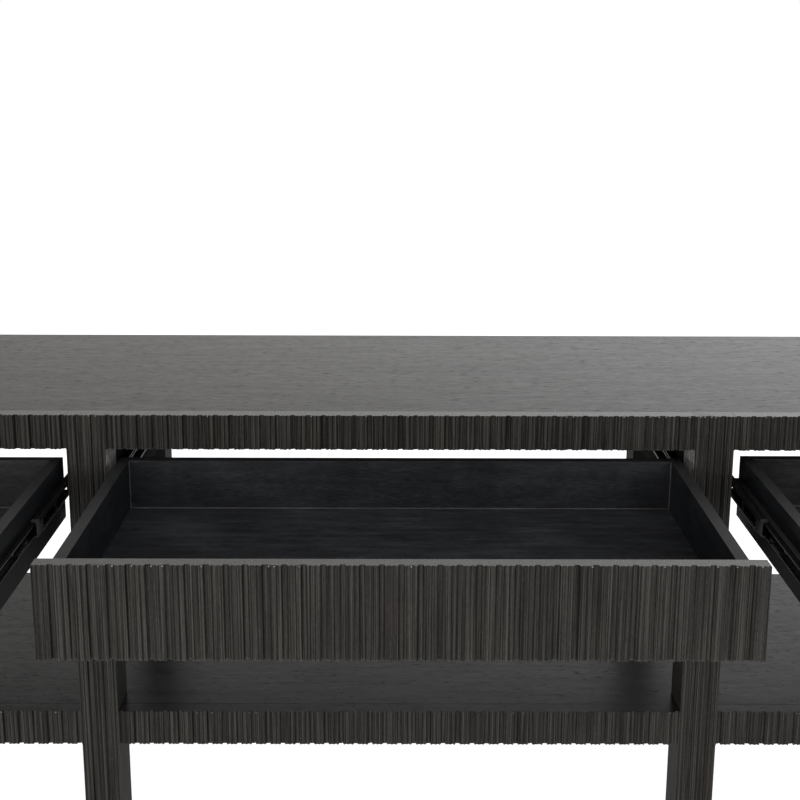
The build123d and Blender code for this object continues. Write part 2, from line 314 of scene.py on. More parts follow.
@dataclass(frozen=True)
class ReededWood(Finish):
    """Carved wood under an ebony stain, worn paler where proud, with painted shade in its gaps' corners and
    painted light on their floors, and broken tips laid bare.
    """

    shade: float = 0.0241
    warmth: float = 0.095
    green: float = 0.035
    middle: float = 0.42  # where the plain stain lies along the stops
    wear_and_gap_shade_tint: float = 0.4
    tone_tint: float = 0.05
    brown: tuple[float, float, float] = (1.75, 1.15, 1.0)  # of the shade, where the wood shows through
    brown_from: tuple[float, float] = (0.55, 6.0)  # least of its pattern, and how fast it comes on
    brown_most: float = 0.5
    roughness: float = 0.5
    rub_polish: float = 0.08
    gloss: float = 0.3
    relief: float = 0.3 * MM
    stops: tuple = ((0.0, 0.18), (0.45, 1.0), (0.8, 1.75), (1.0, 2.5))
    streak: Pattern = Pattern((360.0, 360.0, 2.5), 1.0, tint=0.6, matting=0.3, relief=0.4)
    hair: Pattern = Pattern((828.0, 828.0, 5.0), 2.0, 0.6, tint=3.8, relief=0.7)
    speck: Pattern = Pattern((620.0, 620.0, 210.0), 3.0, 0.7, tint=1.2, relief=0.2)
    cloud: Pattern = Pattern((30.0, 30.0, 20.0), 3.0, tint=0.2)
    thin: Pattern = Pattern((390.0, 390.0, 4.0))

    def surface(self, graph: Graph) -> dict:
        """Say what the surface shader is fed.

        Args:
            graph: The material's graph.

        Returns:
            Values and signals by the names of the shader's sockets.
        """
        place = graph.place()
        streak, hair, speck, cloud = graph.noises(place, self.streak, self.hair, self.speck, self.cloud)
        rub, tone, chip = (graph.attribute(name) for name in MARKS)
        value = streak.spread(self.streak.tint) + hair.spread(self.hair.tint)
        value = value + speck.spread(self.speck.tint) + tone.spread(self.tone_tint)
        # The rub mark pales worn crests and carries the painted shade and painted light of the gaps
        value = (value + cloud.spread(self.cloud.tint) + rub * self.wear_and_gap_shade_tint + self.middle).clamped()
        stain = graph.stain(value, self.stops, self.shade, self.warmth, self.green)
        thin = graph.noise(place, self.thin).above(*self.brown_from) * self.brown_most
        stain = graph.blend(thin, stain, (*(share * self.shade for share in self.brown), 1.0))
        height = streak * self.streak.relief + hair * self.hair.relief + speck * self.speck.relief
        return {
            "Base Color": graph.blend(chip, stain, BARE_WOOD),
            "Roughness": streak.spread(self.streak.matting) + (self.roughness - rub * self.rub_polish),
            "Specular IOR Level": self.gloss,
            "Normal": graph.relief(height, self.relief),
            "IOR": LACQUER_IOR,
        }


@dataclass(frozen=True)
class EndGrain(Finish):
    """Sawn end grain under the same stain: a fine even mottle of pores."""

    shade: float = 0.014
    warmth: float = 0.03
    middle: float = 0.5
    roughness: float = 0.2
    gloss: float = 0.9
    relief: float = 0.16 * MM
    ior: float = 1.75
    stops: tuple = ((0.0, 0.2), (0.5, 1.0), (1.0, 3.2))
    pores: Pattern = Pattern((620.0, 560.0, 620.0), 3.0, 0.8, tint=3.2, matting=-0.8)
    patch: Pattern = Pattern((90.0, 90.0, 90.0), tint=1.0)

    def surface(self, graph: Graph) -> dict:
        """Say what the surface shader is fed.

        Args:
            graph: The material's graph.

        Returns:
            Values and signals by the names of the shader's sockets.
        """
        pores, patch = graph.noises(graph.place(), self.pores, self.patch)
        value = (pores.spread(self.pores.tint) + patch.spread(self.patch.tint) + self.middle).clamped()
        return {
            "Base Color": graph.stain(value, self.stops, self.shade, self.warmth),
            "Roughness": pores.spread(self.pores.matting) + self.roughness,
            "Specular IOR Level": self.gloss,
            "Normal": graph.relief(pores, self.relief),
            "IOR": self.ior,
        }


@dataclass(frozen=True)
class Veneer(Finish):
    """Open-pored veneer under a satin lacquer, its fibres along the table."""

    shade: float = 0.006
    warmth: float = 0.15
    middle: float = 0.5
    roughness: float = 0.28
    under_lacquer: float = 0.08  # how much rougher the stain is than the lacquer
    gloss: float = 0.3
    contrast: float = 1.0
    lacquer: float = 0.48
    figure_sheen: float = 0.7
    fibre_sheen: float = 1.1
    pore_sheen: float = 0.28
    sway: float = 45.0 * MM  # how far the fibres wander sideways
    pore_from: tuple[float, float] = (0.62, 8.0)  # least of its pattern, and how fast it comes on
    pore_tint: float = 0.5
    pore_shade: float = 0.25  # of the shade
    pore_matting: float = 0.25
    relief: float = 0.05 * MM
    stops: tuple = ((0.0, 0.45), (0.5, 1.0), (1.0, 1.7))
    drift: Pattern = Pattern((1.5, 9.0, 9.0))
    figure: Pattern = Pattern((7.0, 70.0, 70.0), 3.0, 0.55, tint=0.8, matting=0.15)
    fibre: Pattern = Pattern((44.0, 290.0, 290.0), 3.0, 0.7, tint=1.0, relief=0.4)
    pore: Pattern = Pattern((59.84, 360.0, 360.0), 1.0)

    def surface(self, graph: Graph) -> dict:
        """Say what the surface shader is fed.

        Args:
            graph: The material's graph.

        Returns:
            Values and signals by the names of the shader's sockets.
        """
        place = graph.place()
        drift = graph.noise(place, self.drift)
        aside = graph.make("ShaderNodeCombineXYZ", {}, {"Y": drift * self.sway}, "Vector")
        settings = {"operation": "ADD"}
        swayed = graph.make("ShaderNodeVectorMath", settings, {0: place, 1: aside}, "Vector")
        figure, fibre, pore = graph.noises(swayed, self.figure, self.fibre, self.pore)
        pore = pore.above(*self.pore_from)
        value = (figure.spread(self.figure.tint) + fibre.spread(self.fibre.tint) + self.middle).clamped()
        colour = graph.stain(value, self.stops, self.shade, self.warmth)
        in_pores = grey(self.pore_shade * self.shade, self.warmth)
        sheen = figure.spread(self.figure_sheen) + fibre.spread(self.fibre_sheen) - pore * self.pore_sheen
        matting = figure.spread(self.figure.matting) + pore * self.pore_matting
        return {
            "Base Color": graph.blend(pore * self.pore_tint, colour, in_pores),
            "Roughness": matting + (self.roughness + self.under_lacquer),
            "Specular IOR Level": self.gloss,
            "Coat Weight": (sheen * self.contrast + self.lacquer).clamped(),
            "Coat Roughness": self.roughness,
            "Normal": graph.relief(fibre * self.fibre.relief - pore, self.relief),
            "IOR": LACQUER_IOR,
        }


@dataclass(frozen=True)
class StainedBoard(Finish):
    """Plain planed wood, stained dark, with its fibres one way; a face that looks up may get a painted
    highlight that fades into a painted shadow of the top towards the back.
    """

    grain: Grain = Grain.UPRIGHT
    shade: float = 0.02
    warmth: float = 0.0
    green: float = 0.0
    roughness: float = 0.5
    gloss: float = 0.5
    middle: float = 0.5
    relief: float = 0.08 * MM
    top_highlight_shade: float = 0.0  # shade of the painted highlight on faces that look up, or 0 for none
    highlight_from: tuple[float, float] = (0.5, 2.5)  # how level a face is at least, and how fast it comes on
    highlight_streaks: float = 1.6
    highlight_share: float = 0.8
    top_shadow_fade: tuple[float, float] = (-3.2, 0.15)  # painted shadow of the top: change to a metre towards the back, and share at Y 0
    figuring: float = 0.9  # strength of the broad streaks
    stops: tuple = ((0.0, 0.3), (0.5, 1.0), (1.0, 2.1))
    fibre: Pattern = Pattern((520.0, 520.0, 520.0), 3.0, 0.7, tint=1.7, matting=0.3)
    figure: Pattern = Pattern((110.0, 110.0, 110.0), 3.0)
    cloud: Pattern = Pattern((11.0, 11.0, 11.0), 3.0, tint=0.9, matting=0.3)

    def surface(self, graph: Graph) -> dict:
        """Say what the surface shader is fed.

        Args:
            graph: The material's graph.

        Returns:
            Values and signals by the names of the shader's sockets.
        """
        place = graph.place()
        patterns = (self.grain.lay(self.fibre), self.grain.lay(self.figure), self.cloud)
        fibre, figure, cloud = graph.noises(place, *patterns)
        value = fibre.spread(self.fibre.tint) + figure.spread(self.figuring) + cloud.spread(self.cloud.tint)
        value = (value + self.drift(graph, place) + self.middle).clamped()
        colour = graph.stain(value, self.stops, self.shade, self.warmth, self.green)
        if self.top_highlight_shade:
            # Painted highlight on faces that look up, streaked along the fibres and dimmed by a painted
            # shadow of the top towards the back
            level = graph.facing()[2].above(*self.highlight_from)
            painted_light = level * (fibre.spread(self.highlight_streaks) + self.highlight_share)
            out_of_top_shadow = graph.split(place)[1].line(self.top_shadow_fade).clamped()
            colour = graph.blend(painted_light * out_of_top_shadow, colour, grey(self.top_highlight_shade))
        matting = fibre.spread(self.fibre.matting) + cloud.spread(self.cloud.matting)
        return {
            "Base Color": colour,
            "Roughness": matting + self.roughness,
            "Specular IOR Level": self.gloss,
            "Normal": graph.relief(fibre, self.relief),
            "IOR": LACQUER_IOR,
        }

    def drift(self, graph: Graph, place: Signal) -> Signal | float:
        """How much lighter or darker the stain is made at each place; nought here."""
        return 0.0


@dataclass(frozen=True)
class LegSide(StainedBoard):
    """Planed side of a leg: painted light, mottled, on its sideways faces beside the drawer, and painted
    shade above the shelf.
    """

    # Painted light beside the drawer: its shade, where it starts, and its share
    lit_patch_shade: float = 0.3
    lit_patch_above: tuple[float, float] = (0.58, 20.0)  # Z, and how fast it comes on
    lit_patch_share: float = 0.6
    side_from: tuple[float, float] = (0.6, 5.0)  # how far a face looks sideways, and how fast it comes on
    # Painted shade above the shelf
    painted_shade_above: tuple[float, float] = (0.25, 25.0)  # Z, and how fast it comes on
    painted_shade_depth: float = 0.44
    mottle: Pattern = Pattern((170.0, 170.0, 110.0), 3.0, 0.6, tint=2.6)

    def surface(self, graph: Graph) -> dict:
        """Say what the surface shader is fed.

        Args:
            graph: The material's graph.

        Returns:
            Values and signals by the names of the shader's sockets.
        """
        sockets = super().surface(graph)
        place = graph.place()
        # Painted light, mottled, on the sideways faces beside the drawer
        high = graph.split(place)[2].above(*self.lit_patch_above)
        mottle = graph.noise(place, self.mottle).spread(self.mottle.tint) + self.lit_patch_share
        sideways = graph.math("ABSOLUTE", graph.facing()[0]).above(*self.side_from)
        painted_light = high * mottle.clamped() * sideways
        sockets["Base Color"] = graph.blend(painted_light, sockets["Base Color"], grey(self.lit_patch_shade))
        return sockets

    def drift(self, graph: Graph, place: Signal) -> Signal:
        """Painted shade: how much darker the stain is made above the shelf, under the drawers."""
        return graph.split(place)[2].above(*self.painted_shade_above) * -self.painted_shade_depth


@dataclass(frozen=True)
class CoatedSteel(Finish):
    """Pressed steel with a coat or a plating, worn a little where it runs."""

    shade: float = 0.02
    metallic: float = 0.6
    roughness: float = 0.34
    gloss: float = 0.5
    worn_from: tuple[float, float] = (0.55, 4.0)  # least of its pattern, and how fast it comes on
    worn_most: float = 0.5
    worn_shade: float = 3.0  # of the shade
    worn_polish: float = 0.1
    grime_least: float = 0.4
    grime_shade: float = 0.6  # of the shade
    relief: float = 0.01 * MM
    rub: Pattern = Pattern((300.0, 18.0, 300.0), 3.0, 0.6)
    grime: Pattern = Pattern((60.0, 60.0, 60.0), 3.0, tint=0.6, matting=0.3)

    def surface(self, graph: Graph) -> dict:
        """Say what the surface shader is fed.

        Args:
            graph: The material's graph.

        Returns:
            Values and signals by the names of the shader's sockets.
        """
        rub, grime = graph.noises(graph.place(), self.rub, self.grime)
        worn = rub.above(*self.worn_from) * self.worn_most
        colour = graph.blend(worn, grey(self.shade), grey(self.worn_shade * self.shade))
        dirty = (grime - self.grime_least) * self.grime.tint
        matting = grime.spread(self.grime.matting) + (self.roughness - worn * self.worn_polish)
        return {
            "Base Color": graph.blend(dirty, colour, grey(self.grime_shade * self.shade)),
            "Metallic": self.metallic,
            "Roughness": matting,
            "Specular IOR Level": self.gloss,
            "Normal": graph.relief(rub, self.relief),
        }


@dataclass(frozen=True)
class Moulded(Finish):
    """Moulded plastic with a faint spark-eroded texture."""

    shade: float = 0.02
    haze_shades: tuple[float, float] = (0.8, 1.3)  # of the shade
    roughness: float = 0.5
    relief: float = 0.02 * MM
    texture: Pattern = Pattern((1800.0, 1800.0, 1800.0), 1.0)
    haze: Pattern = Pattern((80.0, 80.0, 80.0), matting=0.2)

    def surface(self, graph: Graph) -> dict:
        """Say what the surface shader is fed.

        Args:
            graph: The material's graph.

        Returns:
            Values and signals by the names of the shader's sockets.
        """
        texture, haze = graph.noises(graph.place(), self.texture, self.haze)
        dark, pale = (grey(share * self.shade) for share in self.haze_shades)
        return {
            "Base Color": graph.blend(haze, dark, pale),
            "Roughness": haze.spread(self.haze.matting) + self.roughness,
            "Normal": graph.relief(texture, self.relief),
        }


REEDED = ReededWood("reeded_ebony")
REED_ENDS = EndGrain("sawn_end_grain")
TOP_VENEER = Veneer("lacquered_veneer")
SHELF_VENEER = Veneer(
    "shelf_veneer",
    shade=0.005,
    warmth=0.02,
    roughness=0.27,
    contrast=0.95,
    lacquer=0.42,
    fibre=replace(TOP_VENEER.fibre, scale=(75.0, 290.0, 290.0)),
    pore=replace(TOP_VENEER.pore, scale=(102.0, 360.0, 360.0)),
)
# Leg sides: painted light beside the drawer and painted shade above the shelf
LEG_INSIDE = LegSide("planed_leg_side", shade=0.022, warmth=0.1, green=0.02, roughness=0.6, gloss=0.2)
BACK_LEG_INSIDE = LegSide(
    "lit_back_leg_side", shade=0.012, warmth=0.1, green=0.02, roughness=0.6, gloss=0.2, figuring=0.6
)
# Darker copy of the leg stain for the legs' rear faces: painted shade
SHADED_LEG_BACK = StainedBoard("shaded_leg_back", shade=0.007, warmth=0.05, roughness=0.6, gloss=0.2)
CROSS_BOARD = StainedBoard("stained_cross_board", Grain.ALONG_X, shade=0.016)
DEPTH_BOARD = StainedBoard("stained_depth_board", Grain.ALONG_Y, shade=0.003, roughness=0.8, gloss=0.05)
BOX_CROSS = StainedBoard(
    "drawer_cross_board", Grain.ALONG_X, shade=0.019, warmth=-0.1, green=-0.03, roughness=0.42
)
# Lighter copy of the drawer cross board for the side drawers: painted light
BOX_CROSS_LIT = StainedBoard(
    "side_drawer_lit_cross_board", Grain.ALONG_X, shade=0.026, warmth=-0.04, green=-0.02, roughness=0.42
)
BOX_FLOOR = StainedBoard(
    "drawer_floor_board", Grain.ALONG_X, shade=0.0235, warmth=-0.1, green=-0.03, figuring=1.4
)
# The box sides' top edges get a painted highlight, dimmed towards the back by a painted shadow of the top
BOX_SIDE = StainedBoard(
    "drawer_side_board", Grain.ALONG_Y, shade=0.008, warmth=-0.14, green=-0.04, gloss=0.22, top_highlight_shade=0.052
)
BOX_SEAM = StainedBoard("drawer_seam", Grain.ALONG_X, shade=0.04, warmth=-0.05, green=-0.01)
SLIDE_STEEL = CoatedSteel("black_coated_steel", shade=0.007, metallic=0.0, roughness=0.28, gloss=0.42)
CAGE_STEEL = CoatedSteel("ball_cage_steel", shade=0.05, metallic=0.6, roughness=0.4)
BALL_STEEL = CoatedSteel("bearing_steel", shade=0.45, metallic=1.0, roughness=0.2)
SCREW_STEEL = CoatedSteel("zinc_plated_steel", shade=0.45, metallic=1.0, roughness=0.34)
BLACK_SCREW = CoatedSteel("black_zinc_steel", shade=0.06, metallic=0.7, roughness=0.3)
BUMPER_PLASTIC = Moulded("grey_bumper_plastic", shade=0.045)
LEVER_PLASTIC = Moulded("black_lever_plastic", shade=0.008)
GLIDE_PLASTIC = Moulded("dark_nylon", shade=0.018)


# ---------------------------------------------------------------- meshes
@dataclass
class Form:
    """Points and faces of one piece while it is being made."""

    points: list[np.ndarray] = field(default_factory=list)
    faces: list[list[int]] = field(default_factory=list)
    finish_of: list[Finish] = field(default_factory=list)  # one for each face
    marks: dict[str, np.ndarray] = field(default_factory=dict)
    count: int = 0

    CRISP: ClassVar[float] = math.radians(32.0)  # edges that turn more than this stay crisp

    def loft(self, rings: np.ndarray, caps: Finish, walls: list[Finish] | None = None) -> None:
        """Add a closed body through rings of points that turn anticlockwise about the way they climb.

        Args:
            rings: Places by ring and by point.
            caps: Finish of the two ends.
            walls: Finish of each strip round the body, or None for the ends' own.
        """
        rows, around = rings.shape[:2]
        base = self.count + np.arange(rows * around).reshape(rows, around)
        after = np.roll(base, -1, axis=1)
        quads = np.stack([base[:-1], after[:-1], after[1:], base[1:]], axis=-1).reshape(-1, 4)
        self.points.append(rings.reshape(-1, 3))
        self.faces += [*quads.tolist(), base[0, ::-1].tolist(), base[-1].tolist()]
        self.finish_of += [*(walls or [caps] * around) * (rows - 1), caps, caps]
        self.count += rows * around

    def piece(self, name: str) -> bpy.types.Object:
        """Turn the form into an object.

        Args:
            name: The piece's name.

        Returns:
            The linked object, smooth apart from its crisp edges.
        """
        mesh = bpy.data.meshes.new(name)
        mesh.from_pydata(np.concatenate(self.points).tolist(), [], self.faces)
        finishes = list(dict.fromkeys(self.finish_of))
        for finish in finishes:
            mesh.materials.append(finish.material())
        slots = [finishes.index(finish) for finish in self.finish_of]
        mesh.polygons.foreach_set("material_index", slots)
        for mark, values in self.marks.items():
            mesh.attributes.new(mark, "FLOAT", "POINT").data.foreach_set("value", values)
        mesh.polygons.foreach_set("use_smooth", [True] * len(mesh.polygons))
        tidy = bmesh.new()
        tidy.from_mesh(mesh)
        bmesh.ops.remove_doubles(tidy, verts=tidy.verts, dist=0.1 * TOUCH)
        tidy.to_mesh(mesh)
        tidy.free()
        mesh.set_sharp_from_angle(angle=self.CRISP)
        mesh.update()
        made = bpy.data.objects.new(name, mesh)
        bpy.context.scene.collection.objects.link(made)
        return made


def settle(piece: bpy.types.Object, body: str, slot: str, *nodes: str) -> None:
    """Fasten a piece to its body and report it.

    Args:
        piece: The dressed piece.
        body: The body that it rides on.
        slot: Not used.
        nodes: The solids that it stands for.
    """
    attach(piece, body)
    if nodes:
        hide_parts(*nodes)
    log.info("%s rides on %s with %d points", piece.name, body, len(piece.data.vertices))


def seeded(name: str) -> np.random.Generator:
    """Random numbers that are the same for the same name."""
    return np.random.default_rng(zlib.crc32(name.encode()))


@dataclass(frozen=True)
class Reeding:
    """The carved pattern: in each repeat three slim crests, two scallops and one deep channel."""

    pitch: float = 20.0 * MM
    crest_places: tuple[float, ...] = (4.2 * MM, 10.0 * MM, 15.5 * MM)
    crest_width: float = 0.8 * MM
    edge_margin: float = 1.2 * MM  # no crest lies nearer to a face's edge
    scallop_depth: float = 1.25 * MM
    scallop_spread: tuple[float, float] = (0.85, 1.15)
    channel_depth: float = 3.4 * MM
    channel_spread: tuple[float, float] = (0.94, 1.02)
    channel_least: float = 6.5 * MM  # narrowest gap that is cut as a channel
    channel_reach: float = 2.5 * MM  # how far a channel's middle may lie from its place
    wander: float = 0.08 * MM
    sway_reaches: tuple[float, ...] = (160.0 * MM, 55.0 * MM)  # lengths over which a line sways
    sway_spread: tuple[float, float] = (0.7, 1.4)
    crest_sway: float = 0.12 * MM  # how much a crest's height varies along it
    crest_drop: float = 0.2 * MM  # most that a whole crest lies below the face
    ripple: float = 0.05  # how much a gap's depth varies along it
    arris: float = 0.3 * MM
    chip_share: float = 0.12
    chip_spread: tuple[float, float] = (0.5, 1.0)  # how bare a broken tip is
    chip_height: float = 1.7 * MM
    chip_loss: tuple[float, float] = (0.4 * MM, 1.0 * MM)
    chip_lean: float = 0.5  # how far a broken tip falls back, as a share of its loss
    tip_rub: float = 0.16  # most that an unbroken tip is rubbed bare
    ragged: float = 1.1 * MM  # deepest notch at a face's lower edge
    notch_rub: float = 0.2  # how bare the deepest notch is
    crest_rub: float = 0.1
    crest_end_shade: float = 0.4  # share of the painted end shade that a crest takes
    end_shade_reach: float = 9.0 * MM  # how far the painted shade reaches from a board's ends

    # Share of the way across, share of the depth, and the rub mark there: lowered in a gap's corners as
    # painted shade, raised on its floor as painted light
    SCALLOP: ClassVar[tuple[tuple[float, float, float], ...]] = (
        (0.08, 0.3, 0.0),
        (0.15, 0.65, -0.2),
        (0.21, 0.85, -1.5),
        (0.28, 0.95, -1.5),
        (0.34, 0.97, 0.0),
        (0.52, 1.0, 0.3),
        (0.7, 0.92, 0.15),
        (0.88, 0.5, 0.0),
    )
    CHANNEL: ClassVar[tuple[tuple[float, float, float], ...]] = (
        (0.08, 0.12, 0.1),
        (0.16, 0.7, -0.5),
        (0.22, 1.0, -1.3),
        (0.3, 1.0, 0.0),
        (0.54, 1.0, 0.45),
        (0.79, 1.0, 0.35),
        (0.85, 0.85, -1.7),
        (0.91, 0.3, -0.1),
    )

    def crests(self, half: float, channel: float) -> tuple[np.ndarray, np.ndarray]:
        """Lay out the crests of a face.

        Args:
            half: Half of the face's width.
            channel: Place of one channel's middle, from the face's middle.

        Returns:
            The crests' places from edge to edge, and whether a channel follows each but the last.
        """
        steps = np.arange(-math.ceil(half / self.pitch) - 1, math.ceil(half / self.pitch) + 1)
        places = (channel + steps[:, None] * self.pitch + np.array(self.crest_places)).ravel()
        places = places[np.abs(places) < half - self.edge_margin]
        places = np.concatenate([[-half], places, [half]])
        middles = (places[1:] + places[:-1]) / 2
        near = np.abs((middles - channel + self.pitch / 2) % self.pitch - self.pitch / 2)
        wide = np.diff(places) > self.channel_least
        return places, (near < self.channel_reach) & wide

    def carve(
        self,
        half: float,
        channel: float,
        heights: np.ndarray,
        random: np.random.Generator,
        end_shade: float = 0.0,
    ) -> dict[str, np.ndarray]:
        """Carve one face.

        Args:
            half: Half of the face's width.
            channel: Place of one channel's middle, from the face's middle.
            heights: Height of each row of points.
            random: Source of the hand-cut unevenness.
            end_shade: How much painted shade darkens both ends.

        Returns:
            Arrays by row and point: the place across, the depth below the face, and the three marks
            that the finish reads: rub, tone and chip.
        """
        places, channels = self.crests(half, channel)
        crests, gaps = len(places), len(channels)
        sway = self._sway(crests, heights, random) * self.wander
        sway[:, [0, -1]] = 0
        across = places + sway
        low = np.abs(self._sway(crests, heights, random)) * self.crest_sway
        low = low + random.uniform(0, self.crest_drop, crests)
        low[:, [0, -1]] = 0
        tone_crest, tone_gap = random.uniform(0, 1, crests), random.uniform(0, 1, gaps)
        broken = random.uniform(0, 1, crests) < self.chip_share
        bared = random.uniform(*self.chip_spread, crests)
        chipped = np.where(broken, bared, random.uniform(0, self.tip_rub, crests))
        from_end = np.minimum(heights, heights[-1] - heights)
        # Painted shade, darkest at both ends of the board
        painted_end_shade = end_shade * np.exp(-from_end / self.end_shade_reach)
        shallow = random.uniform(*self.scallop_spread, gaps) * self.scallop_depth
        deep = random.uniform(*self.channel_spread, gaps) * self.channel_depth
        depth = np.where(channels, deep, shallow)
        flat = self.crest_width / 2
        columns = {key: [] for key in ("across", "depth", *MARKS, "carved")}

        def column(
            over: np.ndarray, below: np.ndarray, rub: float, tone: float, chip: float, stain: float = 1.0
        ) -> None:
            """Add one upright line of points with its marks.

            Args:
                over: Place across, by row.
                below: Depth below the face, by row.
                rub: The rub mark: wear on a crest, painted shade in a gap's corners and painted light on
                    its floor.
                tone: The line's own tone.
                chip: How bare a broken tip is.
                stain: Share of the painted end shade that it takes.
            """
            level = np.ones(len(heights))
            # The tone mark: the line's own tone, less the painted end shade
            values = (over, below, rub * level, tone - stain * painted_end_shade, chip * level, level)
            for key, value in zip(columns, values):
                columns[key].append(value)

        for i in range(crests):
            if i > 0:
                left = across[:, i] - flat * (i < crests - 1)
                column(left, low[:, i], self.crest_rub, tone_crest[i], chipped[i], self.crest_end_shade)
            if i < crests - 1:
                right = across[:, i] + flat * (i > 0)
                column(right, low[:, i], self.crest_rub, tone_crest[i], chipped[i], self.crest_end_shade)
                begin, end = across[:, i] + flat, across[:, i + 1] - flat
                ripple = 1 + self.ripple * self._sway(1, heights, random)[:, 0]
                for share, shape, rub in self.CHANNEL if channels[i] else self.SCALLOP:
                    base = low[:, i] * (1 - share) + low[:, i + 1] * share
                    below = base + depth[i] * shape * ripple
                    column(begin + (end - begin) * share, below, rub, tone_gap[i], 0)
        return {key: np.stack(value, axis=1) for key, value in columns.items()}

    def _sway(self, count: int, heights: np.ndarray, random: np.random.Generator) -> np.ndarray:
        """Draw a slow unevenness along the height.

        Args:
            count: How many lines.
            heights: Height of each row.
            random: Source of the unevenness.

        Returns:
            About -1 to 1, by row and line.
        """
        total = np.zeros((len(heights), count))
        for reach in self.sway_reaches:
            phase = random.uniform(0, 2 * math.pi, count)
            stretch = random.uniform(*self.sway_spread, count)
            total += np.sin(2 * math.pi * heights[:, None] / (reach * stretch) + phase)
        return total / len(self.sway_reaches)


REEDING = Reeding()


@dataclass(frozen=True)
class CarvedBlock:
    """A straight piece of wood that stands or lies with carved faces, worked upwards in rows.

    Local u runs across the front face, local v into the wood and z up.
    """

    name: str
    middle: Vector  # of the front face's lower edge
    facing: Facing
    width: float
    depth: float
    height: float
    row: float  # height between two rows of points
    channel: float = 0.0
    plain_face: bool = False
    carved_side: int = 0  # -1 or 1 for the u side that is carved too
    seat: float = 0.0  # height of the rebate's seat above the lower edge, or 0 without one
    lip: float = 0.0  # thickness of what stands above the seat
    end_finish: Finish = REED_ENDS
    side_finish: Finish = LEG_INSIDE
    # Painted shade at both ends
    end_shade: float = 0.0

    def heights(self) -> np.ndarray:
        """Set out the rows of points, with a close pair at each end for the arris.

        Returns:
            The rows' heights above the lower edge.
        """
        count = max(3, round(self.height / self.row))
        inner = np.linspace(REEDING.arris, self.height - REEDING.arris, count)
        inner = inner[np.abs(inner - self.seat) > MM] if self.seat else inner
        seats = [self.seat, self.seat] if self.seat else []
        ends = [0.0, REEDING.chip_height, self.height - REEDING.chip_height, self.height]
        return np.sort(np.concatenate([inner, ends, seats]))

    def build(self) -> bpy.types.Object:
        """Carve the block.

        Returns:
            The carved object.
        """
        heights = self.heights()
        random = seeded(self.name)
        if self.plain_face:
            edges = np.tile([-self.width / 2, self.width / 2], (len(heights), 1))
            sides = [(edges, np.zeros_like(edges), None)]
        else:
            front = REEDING.carve(self.width / 2, self.channel, heights, random, self.end_shade)
            sides = [(front["across"], front["depth"], front)]
        right = self._side(1, heights, random)
        left = self._side(-1, heights, random)
        back_u, back_v = self._back(heights)
        ring = sides + right + [(back_u, back_v, None)] + left
        across = np.concatenate([part[0] for part in ring], axis=1)
        into = np.concatenate([part[1] for part in ring], axis=1)
        marks = {key: self._mark(ring, key) for key in (*MARKS, "carved")}
        level = np.repeat(heights[:, None], across.shape[1], axis=1)
        self._ease(across, into, level, marks, random)
        places = self._placed(across, into, level)
        form = Form()
        form.loft(places, self.end_finish, self._strips(marks["carved"][0] > 0, into[1]))
        form.marks = {key: marks[key].ravel() for key in MARKS}
        return form.piece(self.name)

    def _strips(self, carved: np.ndarray, into: np.ndarray) -> list[Finish]:
        """Finish of each upright strip round the block, between one line of points and the next.

        Args:
            carved: Whether each line of points belongs to a carved face.
            into: How far into the wood each line lies.

        Returns:
            The strips' finishes.
        """
        rear = into > self.depth - TOUCH
        strips = [self.side_finish] * len(carved)
        for i in range(len(carved)):
            after = (i + 1) % len(carved)
            if carved[i] and carved[after]:
                strips[i] = REEDED
            elif rear[i] and rear[after]:
                # The rear faces get the darker copy of the leg stain: painted shade
                strips[i] = SHADED_LEG_BACK
        return strips

    def _side(self, step: int, heights: np.ndarray, random: np.random.Generator) -> list:
        """Carve a side between the front and the back.

        Args:
            step: The side, -1 or 1 along u.
            heights: Height of each row.
            random: Source of the hand-cut unevenness.

        Returns:
            Its u, v and marks in a list, or an empty list for a plain side.
        """
        if self.carved_side != step:
            return []
        cut = REEDING.carve(self.depth / 2, self.channel, heights, random)
        across = step * (self.width / 2 - cut["depth"])
        into = self.depth / 2 + cut["across"]
        order = slice(1, -1) if step > 0 else slice(-2, 0, -1)
        cut = {key: value[:, order] for key, value in cut.items()}
        return [(across[:, order], into[:, order], cut)]

    def _back(self, heights: np.ndarray) -> tuple[np.ndarray, np.ndarray]:
        """Set out the plain points behind the front: the back corners, drawn in above a rebate's seat.

        Args:
            heights: Height of each row.

        Returns:
            Their u and v, by row and point.
        """
        half, deep, lip = self.width / 2, self.depth, self.lip
        if not self.seat:
            full = lipped = [(half, deep), (-half, deep)]
        elif self.carved_side > 0:
            full = [(half, deep), (half - lip, deep), (-half, deep), (-half, lip)]
            lipped = [(half, deep), (half - lip, deep), (half - lip, lip), (-half, lip)]
        elif self.carved_side < 0:
            full = [(half, lip), (half, deep), (lip - half, deep), (-half, deep)]
            lipped = [(half, lip), (lip - half, lip), (lip - half, deep), (-half, deep)]
        else:
            full = [(half, lip), (half, deep), (-half, deep), (-half, lip)]
            lipped = [(half, lip), (half, lip), (-half, lip), (-half, lip)]
        above = heights > self.seat if self.seat else np.zeros(len(heights), bool)
        if self.seat:
            above[np.flatnonzero(heights == self.seat)[-1]] = True
        rows = np.where(above[:, None, None], np.array(lipped)[None], np.array(full)[None])
        return rows[:, :, 0], rows[:, :, 1]

    def _mark(self, ring: list, key: str) -> np.ndarray:
        """One mark over the whole ring, nought on plain points."""
        return np.concatenate([p[2][key] if p[2] else np.zeros_like(p[0]) for p in ring], axis=1)

